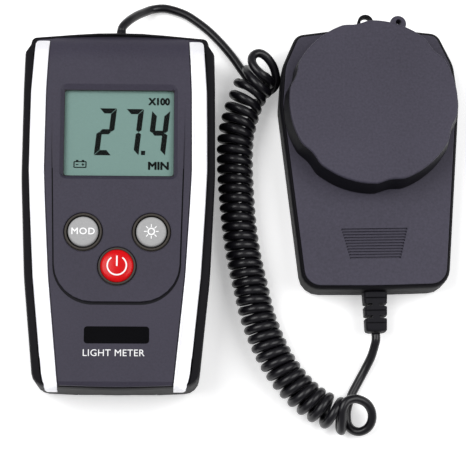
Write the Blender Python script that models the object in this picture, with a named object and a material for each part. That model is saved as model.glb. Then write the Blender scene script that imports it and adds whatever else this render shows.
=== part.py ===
"""A handheld light meter: display unit, curly cord and a separate sensor head with a cap.

The display unit lies on its back, +Z out of its display and +Y towards its cord end.
The origin is the middle of its back face. The sensor head lies to its right (+X).
"""
import math

import bmesh
import bpy
from mathutils import Matrix, Vector

MM = 0.001  # every length below is in millimetres, and the scene is in metres
GAP = 0.3  # clearance between neighbouring pieces

# Display unit: outline corners of the right half, from the bottom up, as (x, y, radius)
REAR_BOTTOM, REAR_TOP = (0, -72.3, 200), (0, 72.3, 200)
REAR_SIDE = [(32.1, -70.8, 6), (36.4, -28, 150), (38.3, 12, 150), (38.2, 48, 100),
             (37.9, 63, 1.5), (35.8, 66.2, 2), (35.2, 69.2, 2.5)]
FRONT_BOTTOM, FRONT_TOP = (0, -71.2, 200), (0, 70.9, 200)
FRONT_SIDE = [(28.2, -70.4, 3), (32.7, -28, 150), (35.1, 12, 150), (34.9, 46, 150),
              (33.4, 67.5, 2)]
PANEL_SIDE = [(21.9, -70.6, 1), (26.2, -28, 150), (28.6, 12, 150), (28.4, 46, 150),
              (27.4, 68.2, 1)]
PLATEAU = [(26.8, 60, 0.5), (-26.8, 60, 0.5), (-23.9, -38.4, 15), (23.9, -38.4, 15)]

# Display unit: heights
REAR_BASE, REAR_WALL = 2.4, 3.4
REAR_RIM_Z = 30.0
FRONT_LEDGE_Z = 29.0  # underside of the front shell
STRIP_LEDGE_Z = 30.6  # the ledge that carries a trim strip
PLATE_UNDER_Z = 31.0
PANEL_Z = 34.0
SLOPE_TOP_Y, SLOPE_DROP = 46.0, 1.6  # the panel falls by the drop from here to its bottom end
ROLL_OFF = [(64, 34.05), (68, 33), (70.2, 31), (75, 31), (75, 40), (64, 40)]  # (y, z)

# Display
WINDOW_X, WINDOW_Y = 0.2, 28.95
WINDOW_SIZE = (43.5, 35.1)
PANE_SIZE, PANE_Z = (51.0, 42.9), (31.3, 32.3)
LCD_SIZE, LCD_Z = (50.0, 42.0), (28.4, 31.0)
LCD_FRAME_WALL, LCD_FRAME_Z = 1.1, (24.5, 30.7)
BACKLIGHT_Z, CONNECTOR_Z = (25.6, 28.1), (24.5, 28.1)

# Boards and battery
BOARD_X, BOARD_Y, BOARD_Z = 27.0, (-56, 59), (22.6, 24.2)
BATTERY_SIZE = (26.5, 48.5, 17.5)
BATTERY_Y, BATTERY_Z = -66.8, 2.8  # lower end and underside
TERMINAL_X, TERMINAL_Z, TERMINAL_R = 6.35, 11.5, 2.9
BAY_WALL_X, BAY_X, BAY_Y, BAY_CEILING_Z = 16.0, 14.0, (-68.6, -10.6), 20.8
COVER_X, COVER_Y, COVER_Z, COVER_FLAP_Z = 15.4, (-71.4, -10.6), (0.25, 2.2), 8.0
CASE_SCREWS = [(29.3, 63), (-29.3, 63), (24.3, -63.2), (-24.3, -63.2)]
BOARD_SCREWS = [(22, 55.5), (-22, 55.5), (19, -52), (-19, -52)]

# Keys
KEYS = {"mode": (-13.2, -11.1), "light": (13.3, -11.1), "power": (0.1, -24.6)}
COLLAR_R, COLLAR_Z = 7.8, 34.6
KEY_R = {"mode": 5.9, "light": 5.9, "power": 6.45}
KEY_BORE = {"mode": 6.5, "light": 6.5, "power": 6.9}
KEY_STEM_Z, KEY_CAP_Z = 28.9, 31.0

# Cord
CORD_R = 1.8
COIL_R = 7.7
EXIT_Z = 14.0
GROMMET_END_Y = 76.2
UPPER_LEAD = [(0, 76.5, 14), (0, 79.2, 13.9), (1, 82.6, 11.8), (3.3, 85.6, 8),
              (7, 88, 4.6), (11.6, 89.8, 2.4), (17.4, 90.6, 1.9), (25.7, 88.3, 1.9),
              (31, 85.2, 1.9), (35.9, 81.3, 1.9), (40, 77.2, 1.9), (43.5, 73.2, 1.9),
              (46.6, 69.2, 1.9), (49.6, 64.9, 1.9)]
COIL_AXIS = [(57.8, 62.6, 8.6), (53.6, 54.2, 8.2), (49.8, 45.3, 7.9), (47.6, 36.8, 7.8),
             (46.8, 26.6, 7.8), (46.9, 18.6, 7.8), (47.4, 10.6, 7.8), (49.4, -9.9, 7.8),
             (53.3, -28.8, 7.8), (55.4, -38.2, 7.8), (57.9, -45.6, 7.8), (60.9, -52.8, 7.8),
             (64.6, -59.7, 7.8), (69.5, -66.5, 7.8), (75.4, -72.6, 7.8), (82.4, -77.2, 7.8),
             (91.0, -79.6, 7.8), (101.4, -79.4, 7.8)]
SENSOR_TAIL = [(94.1, -70.5, 1.9), (96, -66.9, 1.9), (98, -63.3, 2.1), (100, -59.5, 3.1),
               (101.8, -55.7, 4.9), (103, -51.5, 7), (103.42, -49.4, 8.1), (103.38, -46.79, 8.15)]

# Sensor head, in its own frame: outline corners of the right half and heights
HEAD_PLACE, HEAD_TURN = (101.9, 24.0), 1.2  # middle of the casing, and degrees about +Z
HEAD_BOTTOM, HEAD_TOP = (0, -54.2, 300), (0, 54.9, 200)
HEAD_SIDE = [(29.4, -53.7, 8), (36.8, 22.5, 15), (35.3, 38.6, 15), (29.4, 52.7, 5)]
HEAD_SEAM_Z, HEAD_TOP_Z, HEAD_WALL = 8.0, 17.0, 1.9
HEAD_SCREWS = [(27, 43.5), (-27, 43.5), (24.2, -46), (-24.2, -46)]
DOME_Y = 19.65  # middle of the diffuser and of the cap
CAP_R, CAP_BORE, CAP_HEIGHT = 33.9, 32.0, 13.7
CAP_SCALLOPS, CAP_SCALLOP_TURN, CAP_SCALLOP_DEPTH, CAP_SCALLOP_HALF = 6, 40.0, 1.1, 10.0
CAP_LUG_AT, CAP_LUG_ANGLE = 36.0, 70.0
EYE_PLACE, EYE_R, EYE_HOLE, EYE_Z = (-0.8, 57.3), 3.2, 1.7, (11.5, 15.5)
RELIEF_Z, RELIEF_START_Y, RELIEF_END_Y = 8.15, -54.6, -70.5
RELIEF_SIDE_SLOTS, RELIEF_FACE_SLOTS = (-59.6, -64.6), (-57.0, -62.1, -67.1)
GRIP_Y, GRIP_HALF, GRIP_GROOVES = (-29.9, -41.5), (13.3, 10.3), 11

FINISHES = {  # colour, roughness, metallic
    "shell_grey": ((0.078, 0.070, 0.094), 0.45, 0.0),
    "shell_black": ((0.015, 0.014, 0.018), 0.5, 0.0),
    "silver": ((0.80, 0.80, 0.84), 0.25, 0.9),
    "clear": ((0.8, 0.85, 0.85), 0.05, 0.0),
    "lcd_green": ((0.22, 0.35, 0.30), 0.3, 0.0),
    "white": ((0.8, 0.8, 0.78), 0.45, 0.0),
    "board_green": ((0.02, 0.18, 0.07), 0.4, 0.0),
    "chip_black": ((0.02, 0.02, 0.02), 0.5, 0.0),
    "key_rubber": ((0.055, 0.047, 0.043), 0.6, 0.0),
    "key_grey": ((0.45, 0.45, 0.45), 0.5, 0.0),
    "key_red": ((0.75, 0.005, 0.005), 0.35, 0.0),
    "steel": ((0.6, 0.6, 0.6), 0.3, 1.0),
    "cord_black": ((0.02, 0.018, 0.024), 0.4, 0.0),
    "wire_red": ((0.6, 0.02, 0.02), 0.4, 0.0),
    "battery_blue": ((0.03, 0.06, 0.2), 0.35, 0.2),
    "filter_green": ((0.15, 0.4, 0.2), 0.1, 0.0),
}


# ---- outlines, in the XY plane, counter-clockwise ----

def mirrored(bottom, side, top):
    """The whole outline's corners from its right half."""
    return [bottom, *side, top, *[(-x, y, r) for x, y, r in reversed(side)]]


def shrunk(corners, distance):
    """The corners moved inwards by a distance, with their arcs kept concentric."""
    moved = []
    for i, (x, y, radius) in enumerate(corners):
        here = Vector((x, y))
        before = (here - Vector(corners[i - 1][:2])).normalized()
        after = (Vector(corners[(i + 1) % len(corners)][:2]) - here).normalized()
        inward = Vector((-before.y, before.x)) + Vector((-after.y, after.x))
        place = here + inward * (2 * distance / inward.length_squared)
        turn = distance if before.cross(after) > 0 else -distance
        moved.append((place.x, place.y, max(radius - turn, 0.05)))
    return moved


def outline(corners, steps=4):
    """The outline's points, with an arc of so many steps round each corner."""
    points = []
    for i, (x, y, radius) in enumerate(corners):
        here = Vector((x, y))
        back = (Vector(corners[i - 1][:2]) - here).normalized()
        ahead = (Vector(corners[(i + 1) % len(corners)][:2]) - here).normalized()
        half = back.angle(ahead) / 2
        reach = radius / math.tan(half)
        centre = here + (back + ahead).normalized() * (radius / math.sin(half))
        first = here + back * reach - centre
        sweep = first.angle_signed(here + ahead * reach - centre)
        for step in range(steps + 1):
            arm = first.copy()
            arm.rotate(Matrix.Rotation(-sweep * step / steps, 2))
            points.append(centre + arm)
    return points


def circle(radius, steps, centre=(0, 0)):
    angles = [2 * math.pi * i / steps for i in range(steps)]
    return [Vector((centre[0] + radius * math.cos(a), centre[1] + radius * math.sin(a)))
            for a in angles]


def side_x(points, y):
    """Where the right side of an outline crosses a height y."""
    right = sorted((p for p in points if p.x > 15), key=lambda p: p.y)
    for low, high in zip(right, right[1:]):
        if low.y <= y <= high.y and high.y > low.y:
            return low.x + (high.x - low.x) * (y - low.y) / (high.y - low.y)
    return right[0].x if y < right[0].y else right[-1].x


# ---- meshes, in millimetres ----

def prism(points, low, high):
    """An outline raised from one height to another."""
    mesh = bmesh.new()
    face = mesh.faces.new([mesh.verts.new((p[0], p[1], low)) for p in points])
    raised = bmesh.ops.extrude_face_region(mesh, geom=[face])["geom"]
    verts = [v for v in raised if isinstance(v, bmesh.types.BMVert)]
    bmesh.ops.translate(mesh, verts=verts, vec=(0, 0, high - low))
    return mesh


def stack(rings):
    """A body through rings of equal count, closed by a face at each end."""
    mesh = bmesh.new()
    rows = [[mesh.verts.new(p) for p in ring] for ring in rings]
    mesh.faces.new(rows[0])
    mesh.faces.new(rows[-1])
    for lower, upper in zip(rows, rows[1:]):
        for i in range(len(lower)):
            j = (i + 1) % len(lower)
            mesh.faces.new((lower[i], lower[j], upper[j], upper[i]))
    return mesh


def stepped(corners, levels, steps=4):
    """A body whose outline shrinks by a distance at each of its levels (z, distance)."""
    return stack([[(p.x, p.y, z) for p in outline(shrunk(corners, inset), steps)]
                  for z, inset in levels])


def block(low, high):
    """A box from its lowest to its highest corner."""
    corners = [(low[0], low[1]), (high[0], low[1]), (high[0], high[1]), (low[0], high[1])]
    return prism(corners, low[2], high[2])


def turned(profile, steps=24):
    """A profile of (radius, height) points spun about Z; one that is off the axis is a ring."""
    mesh = bmesh.new()
    verts = [mesh.verts.new((r, 0, z)) for r, z in profile]
    pairs = list(zip(verts, verts[1:]))
    if profile[0][0] > 0:
        pairs.append((verts[-1], verts[0]))
    edges = [mesh.edges.new(pair) for pair in pairs]
    bmesh.ops.spin(mesh, geom=verts + edges, axis=(0, 0, 1), angle=2 * math.pi,
                   steps=steps, use_merge=True)
    bmesh.ops.remove_doubles(mesh, verts=mesh.verts, dist=0.0001)
    return mesh


def rod(radius, low, high, steps=16):
    return prism(circle(radius, steps), low, high)


def swept_x(profile, half):
    """A closed (y, z) profile drawn out along X to both sides."""
    mesh = prism(profile, -half, half)
    bmesh.ops.transform(mesh, matrix=Matrix(((0, 0, 1), (1, 0, 0), (0, 1, 0))).to_4x4(),
                        verts=mesh.verts)
    return mesh


def moved(mesh, place):
    bmesh.ops.translate(mesh, verts=mesh.verts, vec=place)
    return mesh


def along_y(mesh, place):
    """Lays a body that stands on Z along Y, its height becoming y, and moves it."""
    turn = Matrix(((1, 0, 0), (0, 0, 1), (0, -1, 0))).to_4x4()
    bmesh.ops.transform(mesh, matrix=turn, verts=mesh.verts)
    return moved(mesh, place)


def together(meshes):
    """Several separate bodies in one mesh, for a tool that cuts in several places."""
    whole = bpy.data.meshes.new("parts")
    result = bmesh.new()
    for mesh in meshes:
        bmesh.ops.recalc_face_normals(mesh, faces=mesh.faces)
        mesh.to_mesh(whole)
        result.from_mesh(whole)
    bpy.data.meshes.remove(whole)
    return result


# ---- objects ----

def paint(thing, finish):
    """Gives an object its own material."""
    colour, roughness, metallic = FINISHES[finish]
    surface = bpy.data.materials.new(thing.name + "_" + finish)
    surface.use_nodes = True
    shader = surface.node_tree.nodes["Principled BSDF"]
    shader.inputs["Base Color"].default_value = (*colour, 1)
    shader.inputs["Roughness"].default_value = roughness
    shader.inputs["Metallic"].default_value = metallic
    surface.diffuse_color = (*colour, 1)
    thing.data.materials.append(surface)


def solid(name, mesh, finish=None, place=(0, 0, 0), parent=None):
    """An object from a mesh in millimetres, its origin at place."""
    bmesh.ops.recalc_face_normals(mesh, faces=mesh.faces)
    bmesh.ops.scale(mesh, vec=(MM, MM, MM), verts=mesh.verts)
    data = bpy.data.meshes.new(name)
    mesh.to_mesh(data)
    thing = bpy.data.objects.new(name, data)
    bpy.context.scene.collection.objects.link(thing)
    thing.location = Vector(place) * MM
    thing.parent = parent
    if finish:
        paint(thing, finish)
        data.shade_smooth()
        data.set_sharp_from_angle(angle=math.radians(35))
    return thing


def shape(target, operation, *meshes):
    """Joins bodies to an object, or cuts them out of it, and returns the last tool body."""
    for i, mesh in enumerate(meshes):
        tool = solid(f"{target.name}_{operation.lower()}_{len(target.modifiers)}_{i}",
                     mesh, place=target.location / MM, parent=target.parent)
        tool.hide_render = True
        tool.display_type = "WIRE"
        step = target.modifiers.new(tool.name, "BOOLEAN")
        step.operation = operation
        step.solver = "EXACT"
        step.object = tool
    return tool


def smooth_route(points, spacing):
    """Points at an even spacing on one smooth curve through the route's own points."""
    knots = [Vector(p) for p in points]
    ends = [2 * knots[0] - knots[1], *knots, 2 * knots[-1] - knots[-2]]
    fine = []
    for a, b, c, d in zip(ends, ends[1:], ends[2:], ends[3:]):
        for step in range(12):
            t = step / 12
            fine.append(((2 * b) + (c - a) * t + (2 * a - 5 * b + 4 * c - d) * t ** 2
                         + (3 * b - a - 3 * c + d) * t ** 3) / 2)
    fine.append(knots[-1])
    lengths = [0.0]
    for a, b in zip(fine, fine[1:]):
        lengths.append(lengths[-1] + (b - a).length)
    count = max(2, round(lengths[-1] / spacing))
    route, at = [], 0
    for i in range(count + 1):
        wanted = lengths[-1] * i / count
        while at < len(fine) - 2 and lengths[at + 1] < wanted:
            at += 1
        share = (wanted - lengths[at]) / (lengths[at + 1] - lengths[at])
        route.append(fine[at].lerp(fine[at + 1], share))
    return route


def tube(name, points, radius, spacing, finish, parent=None):
    """A round cord or wire along a route."""
    route = smooth_route(points, spacing)
    data = bpy.data.curves.new(name, "CURVE")
    data.dimensions = "3D"
    data.bevel_depth = radius * MM
    data.bevel_resolution = 2
    data.use_fill_caps = True
    line = data.splines.new("POLY")
    line.points.add(len(route) - 1)
    for point, place in zip(line.points, route):
        point.co = (*(place * MM), 1)
    thing = bpy.data.objects.new(name, data)
    bpy.context.scene.collection.objects.link(thing)
    thing.parent = parent
    paint(thing, finish)
    return thing


# ---- display unit ----

def screw_hole(head_r, head_z, bore_r, top_z):
    """The space for a screw: a counterbore from below, then its bore."""
    return turned([(0, -1), (head_r, -1), (head_r, head_z), (bore_r, head_z),
                   (bore_r, top_z), (0, top_z)], 20)


def screw(name, place, head_r, head_z, shank_r, tip_z, parent=None):
    """A pan-head screw, its head from head_z[0] to head_z[1] and its shank above."""
    low, high = head_z
    profile = [(0, low), (head_r * 0.8, low), (head_r, low + 0.5), (head_r, high),
               (shank_r, high), (shank_r, tip_z - 1), (0, tip_z)]
    solid(name, turned(profile, 16), "steel", (*place, 0), parent)


def rear_shell():
    """The black tray with the battery bay, the screw bosses and the cord's hole."""
    corners = mirrored(REAR_BOTTOM, REAR_SIDE, REAR_TOP)
    levels = [(0, 2.4), (0.7, 1.1), (2.2, 0.25), (4, 0), (26.5, 0), (29, 0.3), (REAR_RIM_Z, 0.7)]
    shell = solid("rear_shell", stepped(corners, levels), "shell_black")
    inside = outline(shrunk(corners, REAR_WALL))
    front = mirrored(FRONT_BOTTOM, FRONT_SIDE, FRONT_TOP)
    shape(shell, "DIFFERENCE", prism(inside, REAR_BASE, 40),
          prism(outline(shrunk(front, -GAP)), FRONT_LEDGE_Z - GAP, 40))
    bosses = [moved(rod(4, 1, 10), (x, y, 0)) for x, y in CASE_SCREWS]
    bay = block((-BAY_WALL_X, BAY_Y[0] - 2, 1), (BAY_WALL_X, BAY_Y[1] + 1.6, 22.2))
    shape(shell, "UNION", together(bosses), bay)
    reach = -80  # past the bottom end
    slot_x = COVER_X + GAP
    shape(shell, "DIFFERENCE",
          block((-BAY_X, BAY_Y[0], -1), (BAY_X, BAY_Y[1], BAY_CEILING_Z)),
          block((-5, -16.5, BAY_CEILING_Z - 1), (5, -12, 23)),
          block((-slot_x, reach, -2), (slot_x, COVER_Y[1] + GAP, COVER_Z[1] + GAP)),
          block((-slot_x, reach, -3), (slot_x, -68, COVER_FLAP_Z + GAP)),
          together([moved(screw_hole(3.1, 3.2, 1.8, 11), (x, y, 0)) for x, y in CASE_SCREWS]),
          along_y(rod(3.6, 66, 76, 24), (0, 0, EXIT_Z)))


def front_shell():
    """The grey front with the display's window, the key holes and its posts."""
    front = mirrored(FRONT_BOTTOM, FRONT_SIDE, FRONT_TOP)
    panel = mirrored(FRONT_BOTTOM, PANEL_SIDE, FRONT_TOP)
    shell = solid("front_shell", prism(outline(front), FRONT_LEDGE_Z, STRIP_LEDGE_Z), "shell_grey")
    shape(shell, "UNION", prism(outline(panel), FRONT_LEDGE_Z + 0.5, PANEL_Z))
    shape(shell, "DIFFERENCE", prism(outline(shrunk(panel, 1.2)), 28, PLATE_UNDER_Z))
    posts = [moved(rod(2.8, 10.4, 30), (x, y, 0)) for x, y in CASE_SCREWS]
    posts += [moved(rod(2.4, 24.5, 31.6), (x, y, 0)) for x, y in BOARD_SCREWS]
    shape(shell, "UNION", together(posts))
    bores = [moved(rod(1.8, 9, 20), (x, y, 0)) for x, y in CASE_SCREWS]
    bores += [moved(rod(1.3, 24, 29.5), (x, y, 0)) for x, y in BOARD_SCREWS]
    shape(shell, "DIFFERENCE", together(bores),
          window_space(WINDOW_SIZE, (30, 36)), window_space(add_gap(PANE_SIZE), (30, 32.6)),
          together([moved(rod(COLLAR_R + GAP, 28, 37, 32), (x, y, 0)) for x, y in KEYS.values()]),
          swept_x(ROLL_OFF, 45))
    wedge = [(SLOPE_TOP_Y, PANEL_Z), (-80, PANEL_Z - SLOPE_DROP), (-80, 40), (SLOPE_TOP_Y, 40)]
    slope = shape(shell, "DIFFERENCE", swept_x(wedge, 45))
    shape(slope, "DIFFERENCE", prism(outline(PLATEAU, 6), 28, 45))


def add_gap(size):
    return [s + 2 * GAP for s in size]


def window_space(size, heights):
    """A block of a size in the middle of the display's window."""
    return block((WINDOW_X - size[0] / 2, WINDOW_Y - size[1] / 2, heights[0]),
                 (WINDOW_X + size[0] / 2, WINDOW_Y + size[1] / 2, heights[1]))


def trim_strip(name, side):
    """A silver strip in its ledge beside the panel; side is 1 on the right, -1 on the left."""
    front = outline(mirrored(FRONT_BOTTOM, FRONT_SIDE, FRONT_TOP))
    panel = outline(mirrored(FRONT_BOTTOM, PANEL_SIDE, FRONT_TOP))
    rings = []
    for y in (-69.6, -60, -45, -28, -14, 0, 14, 30, 46, 58, 63.5, 66.8):
        drop = SLOPE_DROP * max(0, SLOPE_TOP_Y - y) / 126 + 1.2 * max(0, y - 63.5) / 3.3
        outer, inner = side_x(front, y), side_x(panel, y) + GAP
        low = STRIP_LEDGE_Z + GAP
        section = [(outer, low), (outer, 32.4 - drop), (inner + 2, 33.4 - drop),
                   (inner, 33.6 - drop), (inner, low)]
        rings.append([(side * x, y, z) for x, z in section])
    solid(name, stack(rings), "silver")


def display():
    """The window pane, the liquid-crystal cell and what carries and lights it."""
    solid("display_window", window_space(PANE_SIZE, PANE_Z), "clear")
    solid("lcd_panel", window_space(LCD_SIZE, LCD_Z), "lcd_green")
    outer = [s + 2 * (GAP + LCD_FRAME_WALL) for s in LCD_SIZE]
    frame = solid("lcd_frame", window_space(outer, LCD_FRAME_Z), "white")
    shape(frame, "DIFFERENCE", window_space(add_gap(LCD_SIZE), (20, 35)))
    low_y = WINDOW_Y - LCD_SIZE[1] / 2
    low, high = CONNECTOR_Z
    solid("lcd_connector", block((-22, low_y + 0.2, low), (22, low_y + 2.3, high)), "key_rubber")
    solid("backlight_panel", block((-24.6, low_y + 2.7, BACKLIGHT_Z[0]),
                                   (24.9, low_y + 41.8, BACKLIGHT_Z[1])), "white")


def boards():
    """The main board with its chip, and the four screws that hold it to the front shell."""
    board = solid("main_board", block((-BOARD_X, BOARD_Y[0], BOARD_Z[0]),
                                      (BOARD_X, BOARD_Y[1], BOARD_Z[1])), "board_green")
    holes = [moved(rod(1.3, 20, 26), (x, y, 0)) for x, y in BOARD_SCREWS]
    shape(board, "DIFFERENCE", together(holes))
    solid("processor_chip", block((-7, 18, 19.9), (7, 32, BOARD_Z[0] - GAP)), "chip_black")
    solid("cord_socket", block((-5, 43, 16.5), (5, 50, BOARD_Z[0] - GAP)), "white")
    for i, place in enumerate(BOARD_SCREWS):
        screw(f"board_screw_{i + 1}", place, 2.1, (20.7, 22.3), 1.0, 28.8)
    for i, place in enumerate(CASE_SCREWS):
        screw(f"case_screw_{i + 1}", place, 2.75, (0.9, 2.9), 1.5, 19)


def keypad():
    """The rubber mat with its three collars, the keys in them and the switches below."""
    mat = solid("keypad_mat", block((-21, -35.5, 29), (21, -1.5, 30.7)), "key_rubber")
    shape(mat, "UNION", together([moved(rod(COLLAR_R, 29.4, COLLAR_Z, 32), (x, y, 0))
                                  for x, y in KEYS.values()]))
    shape(mat, "DIFFERENCE", together([moved(rod(KEY_BORE[key], 28, 37, 32), (x, y, 0))
                                       for key, (x, y) in KEYS.items()]))
    for key, (x, y) in KEYS.items():
        r = KEY_R[key]
        base = [(0, KEY_STEM_Z), (2, KEY_STEM_Z), (2, KEY_CAP_Z), (r, KEY_CAP_Z)]
        flat = [(r, 34.7), (r - 0.4, 35.1), (3, 35.35), (0, 35.4)]
        domed = [(r, 34.4), (r - 0.55, 35.2), (4.2, 35.7), (2, 35.95), (0, 36)]
        profile = base + (domed if key == "power" else flat)
        solid(f"{key}_button", turned([(a, z - KEY_CAP_Z) for a, z in profile], 32),
              "key_red" if key == "power" else "key_grey", (x, y, KEY_CAP_Z))
        switch = solid(f"{key}_switch", block((x - 3, y - 3, 24.5), (x + 3, y + 3, 27.4)), "steel")
        shape(switch, "UNION", moved(rod(1.6, 27, 27.9), (x, y, 0)))


def battery():
    """The battery with its two terminals, its snap, their wires and the sliding cover."""
    half, length, height = BATTERY_SIZE[0] / 2, BATTERY_SIZE[1], BATTERY_SIZE[2]
    end = BATTERY_Y + length
    corners = [(-half, BATTERY_Z, 2), (half, BATTERY_Z, 2), (half, BATTERY_Z + height, 2),
               (-half, BATTERY_Z + height, 2)]
    body = [[(p.x, y, p.y) for p in outline(corners, 3)] for y in (BATTERY_Y, end)]
    cell = solid("battery", stack(body), "battery_blue")
    posts = [(-TERMINAL_X, TERMINAL_R), (TERMINAL_X, TERMINAL_R)]
    shape(cell, "UNION", together([along_y(rod(r, end - 1, end + 2.9), (x, 0, TERMINAL_Z))
                                   for x, r in posts]))
    snap = solid("battery_snap", block((-12.5, end + 0.4, 6), (12.5, end + 5.3, 17)), "chip_black")
    cups = [along_y(rod(r + 0.4, end - 1, end + 3.3), (x, 0, TERMINAL_Z)) for x, r in posts]
    shape(snap, "DIFFERENCE", together(cups))
    leads = {"battery_lead_red": (3, "wire_red"), "battery_lead_black": (-3, "chip_black")}
    for name, (x, finish) in leads.items():
        tube(name, [(x, -14.4, 17.3), (x, -14.2, 19.5), (x, -14.4, 22.3)], 0.7, 1.7, finish)
    low_y, high_y = COVER_Y
    low_z, high_z = COVER_Z
    profile = [(high_y, low_z), (high_y, high_z), (-69.1, high_z), (-69.1, COVER_FLAP_Z),
               (low_y, COVER_FLAP_Z), (low_y, 2.8), (low_y + 0.8, 1), (low_y + 2.4, low_z)]
    solid("battery_cover", swept_x([(y + 40, z) for y, z in profile], COVER_X), "shell_black",
          (0, -40, 0))


def cord():
    """The bushing, the wire behind it, and the cord's own solids: two leads and the coil."""
    profile = [(0, 66.2), (5, 66.2), (5, 67.7), (3.3, 67.7), (3.3, 71.9), (4.3, 71.9),
               (3.5, GROMMET_END_Y), (0, GROMMET_END_Y)]
    solid("cord_grommet", along_y(turned(profile, 24), (0, 0, EXIT_Z)), "cord_black")
    inner = [(0, 65.9, 14), (0, 62.5, 14), (0, 58, 17), (0, 54.5, 19.3), (0, 50.6, 19.4)]
    tube("cord_inner_lead", inner, CORD_R, 4, "cord_black")
    tube("cord_upper_lead", UPPER_LEAD, CORD_R, 4, "cord_black")
    tube("curly_cord", COIL_AXIS, COIL_R, 7.5, "cord_black")
    tube("cord_sensor_tail", SENSOR_TAIL, CORD_R, 4, "cord_black")


# ---- sensor head ----

def sensor_casings(head):
    """The two halves of the sensor head's casing."""
    corners = mirrored(HEAD_BOTTOM, HEAD_SIDE, HEAD_TOP)
    cable_hole = rod(3.7, -57, -50, 24)
    levels = [(0, 1.4), (0.5, 0.5), (1.6, 0), (HEAD_SEAM_Z, 0)]
    rear = solid("sensor_rear_casing", stepped(corners, levels), "shell_black", parent=head)
    shape(rear, "DIFFERENCE", prism(outline(shrunk(corners, HEAD_WALL)), 1.8, 20))
    stands = [moved(rod(4, 1, 6.5), (x, y, 0)) for x, y in HEAD_SCREWS]
    stands += [moved(rod(2.5, 1, 5), (x, 34, 0)) for x in (-11, 11)]
    shape(rear, "UNION", together(stands))
    shape(rear, "DIFFERENCE",
          together([moved(screw_hole(2.6, 2.6, 1.5, 8), (x, y, 0)) for x, y in HEAD_SCREWS]),
          along_y(cable_hole.copy(), (0, 0, RELIEF_Z)))

    levels = [(HEAD_SEAM_Z + GAP, 0), (14.6, 0.1), (16.2, 0.7), (HEAD_TOP_Z, 1.9)]
    front = solid("sensor_front_casing", stepped(corners, levels), "shell_grey", parent=head)
    shape(front, "DIFFERENCE", prism(outline(shrunk(corners, HEAD_WALL)), 5, 15.2))
    ring = turned([(29.6, 16.5), (31.5, 16.5), (31.5, 19.8), (29.6, 19.8)], 48)
    moved(ring, (0, DOME_Y, 0))
    x, y = EYE_PLACE
    low, high = EYE_Z
    eye = prism(circle(EYE_R, 20, EYE_PLACE), low, high)
    neck = block((x - EYE_R + 0.2, y - 3.5, low + 0.4), (x + EYE_R - 0.2, y - 0.7, high - 0.4))
    posts = [moved(rod(2.8, 6.9, 16), (x, y, 0)) for x, y in HEAD_SCREWS]
    shape(front, "UNION", ring, eye, neck, together(posts))
    bores = [moved(rod(1.5, 6, 13), (x, y, 0)) for x, y in HEAD_SCREWS]
    shape(front, "DIFFERENCE", together(bores), moved(rod(20.1, 14, 18, 48), (0, DOME_Y, 0)),
          moved(rod(EYE_HOLE, 10, 17), (*EYE_PLACE, 0)), grip_grooves(),
          along_y(cable_hole, (0, 0, RELIEF_Z)))


def grip_grooves():
    """The straight grooves of the finger grip, in a field that narrows downwards."""
    grooves = []
    for i in range(GRIP_GROOVES):
        share = i / (GRIP_GROOVES - 1)
        y = GRIP_Y[0] + (GRIP_Y[1] - GRIP_Y[0]) * share
        half = GRIP_HALF[0] + (GRIP_HALF[1] - GRIP_HALF[0]) * share
        grooves.append(block((-half, y - 0.3, HEAD_TOP_Z - 0.5), (half, y + 0.3, 18)))
    return together(grooves)


def sensor_inside(head):
    """The diffuser and the light path under it, the board and the four screws."""
    middle = (0, DOME_Y, 0)
    rise = [math.radians(a) for a in range(0, 91, 15)]
    outer = [(19.7 * math.cos(a), 17.2 + 7.2 * math.sin(a)) for a in rise]
    inner = [(18.1 * math.cos(a), 17.2 + 5.7 * math.sin(a)) for a in reversed(rise)]
    dome = [(22, 14.9), (22, 13.2), (18.1, 13.2)]
    profile = [*reversed(outer), (19.7, 14.9), *dome, *reversed(inner)]
    profile = [(0, z) if r < 0.001 else (r, z) for r, z in profile]
    solid("diffuser_dome", turned(profile, 40), "white", middle, head)
    section = [(20.3, 17.3), (23.5, 17.3), (23.5, 18.2), (22.3, 18.9), (20.3, 18.9)]
    solid("diffuser_ring", turned(section, 40), "shell_black", middle, head)
    solid("colour_filter", rod(7.6, 10.5, 12.3, 32), "filter_green", middle, head)
    section = [(6.5, 7.3), (10, 7.3), (10, 12.6), (8, 12.6), (8, 10.2), (6.5, 10.2)]
    solid("filter_holder", turned(section, 32), "chip_black", middle, head)
    solid("photodiode", block((-4, -4, 7.3), (4, 4, 9.4)), "chip_black", middle, head)
    solid("sensor_board", block((-15, -2, 5.4), (15, 40, 7)), "board_green", parent=head)
    for i, place in enumerate(HEAD_SCREWS):
        screw(f"sensor_screw_{i + 1}", place, 2.3, (0.5, 2.3), 1.2, 12, head)
    inner = [(0, -50.1, 8.1), (1.5, -40, 7.2), (1, -24, 5), (0, -12, 5.2), (0, -2.4, 6.2)]
    tube("sensor_inner_lead", inner, 1.6, 6, "cord_black", head)


def strain_relief(head):
    """The slotted rubber sleeve where the cord enters the sensor head."""
    profile = [(0, RELIEF_END_Y), (3.7, RELIEF_END_Y), (4.2, RELIEF_END_Y + 0.7),
               (4.85, RELIEF_START_Y), (3.4, RELIEF_START_Y), (3.4, -51.9), (5, -51.9),
               (5, -50.4), (0, -50.4)]
    body = along_y(turned(profile, 24), (0, 0, RELIEF_Z))
    sleeve = solid("sensor_strain_relief", body, "cord_black", parent=head)
    web, reach, half = 1.4, 7, 0.45
    slots = []
    for sign in (-1, 1):
        low, high = sorted((sign * web, sign * reach))
        slots += [block((low, y - half, RELIEF_Z - reach), (high, y + half, RELIEF_Z + reach))
                  for y in RELIEF_SIDE_SLOTS]
        slots += [block((-reach, y - half, RELIEF_Z + low), (reach, y + half, RELIEF_Z + high))
                  for y in RELIEF_FACE_SLOTS]
    shape(sleeve, "DIFFERENCE", together(slots))


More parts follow.
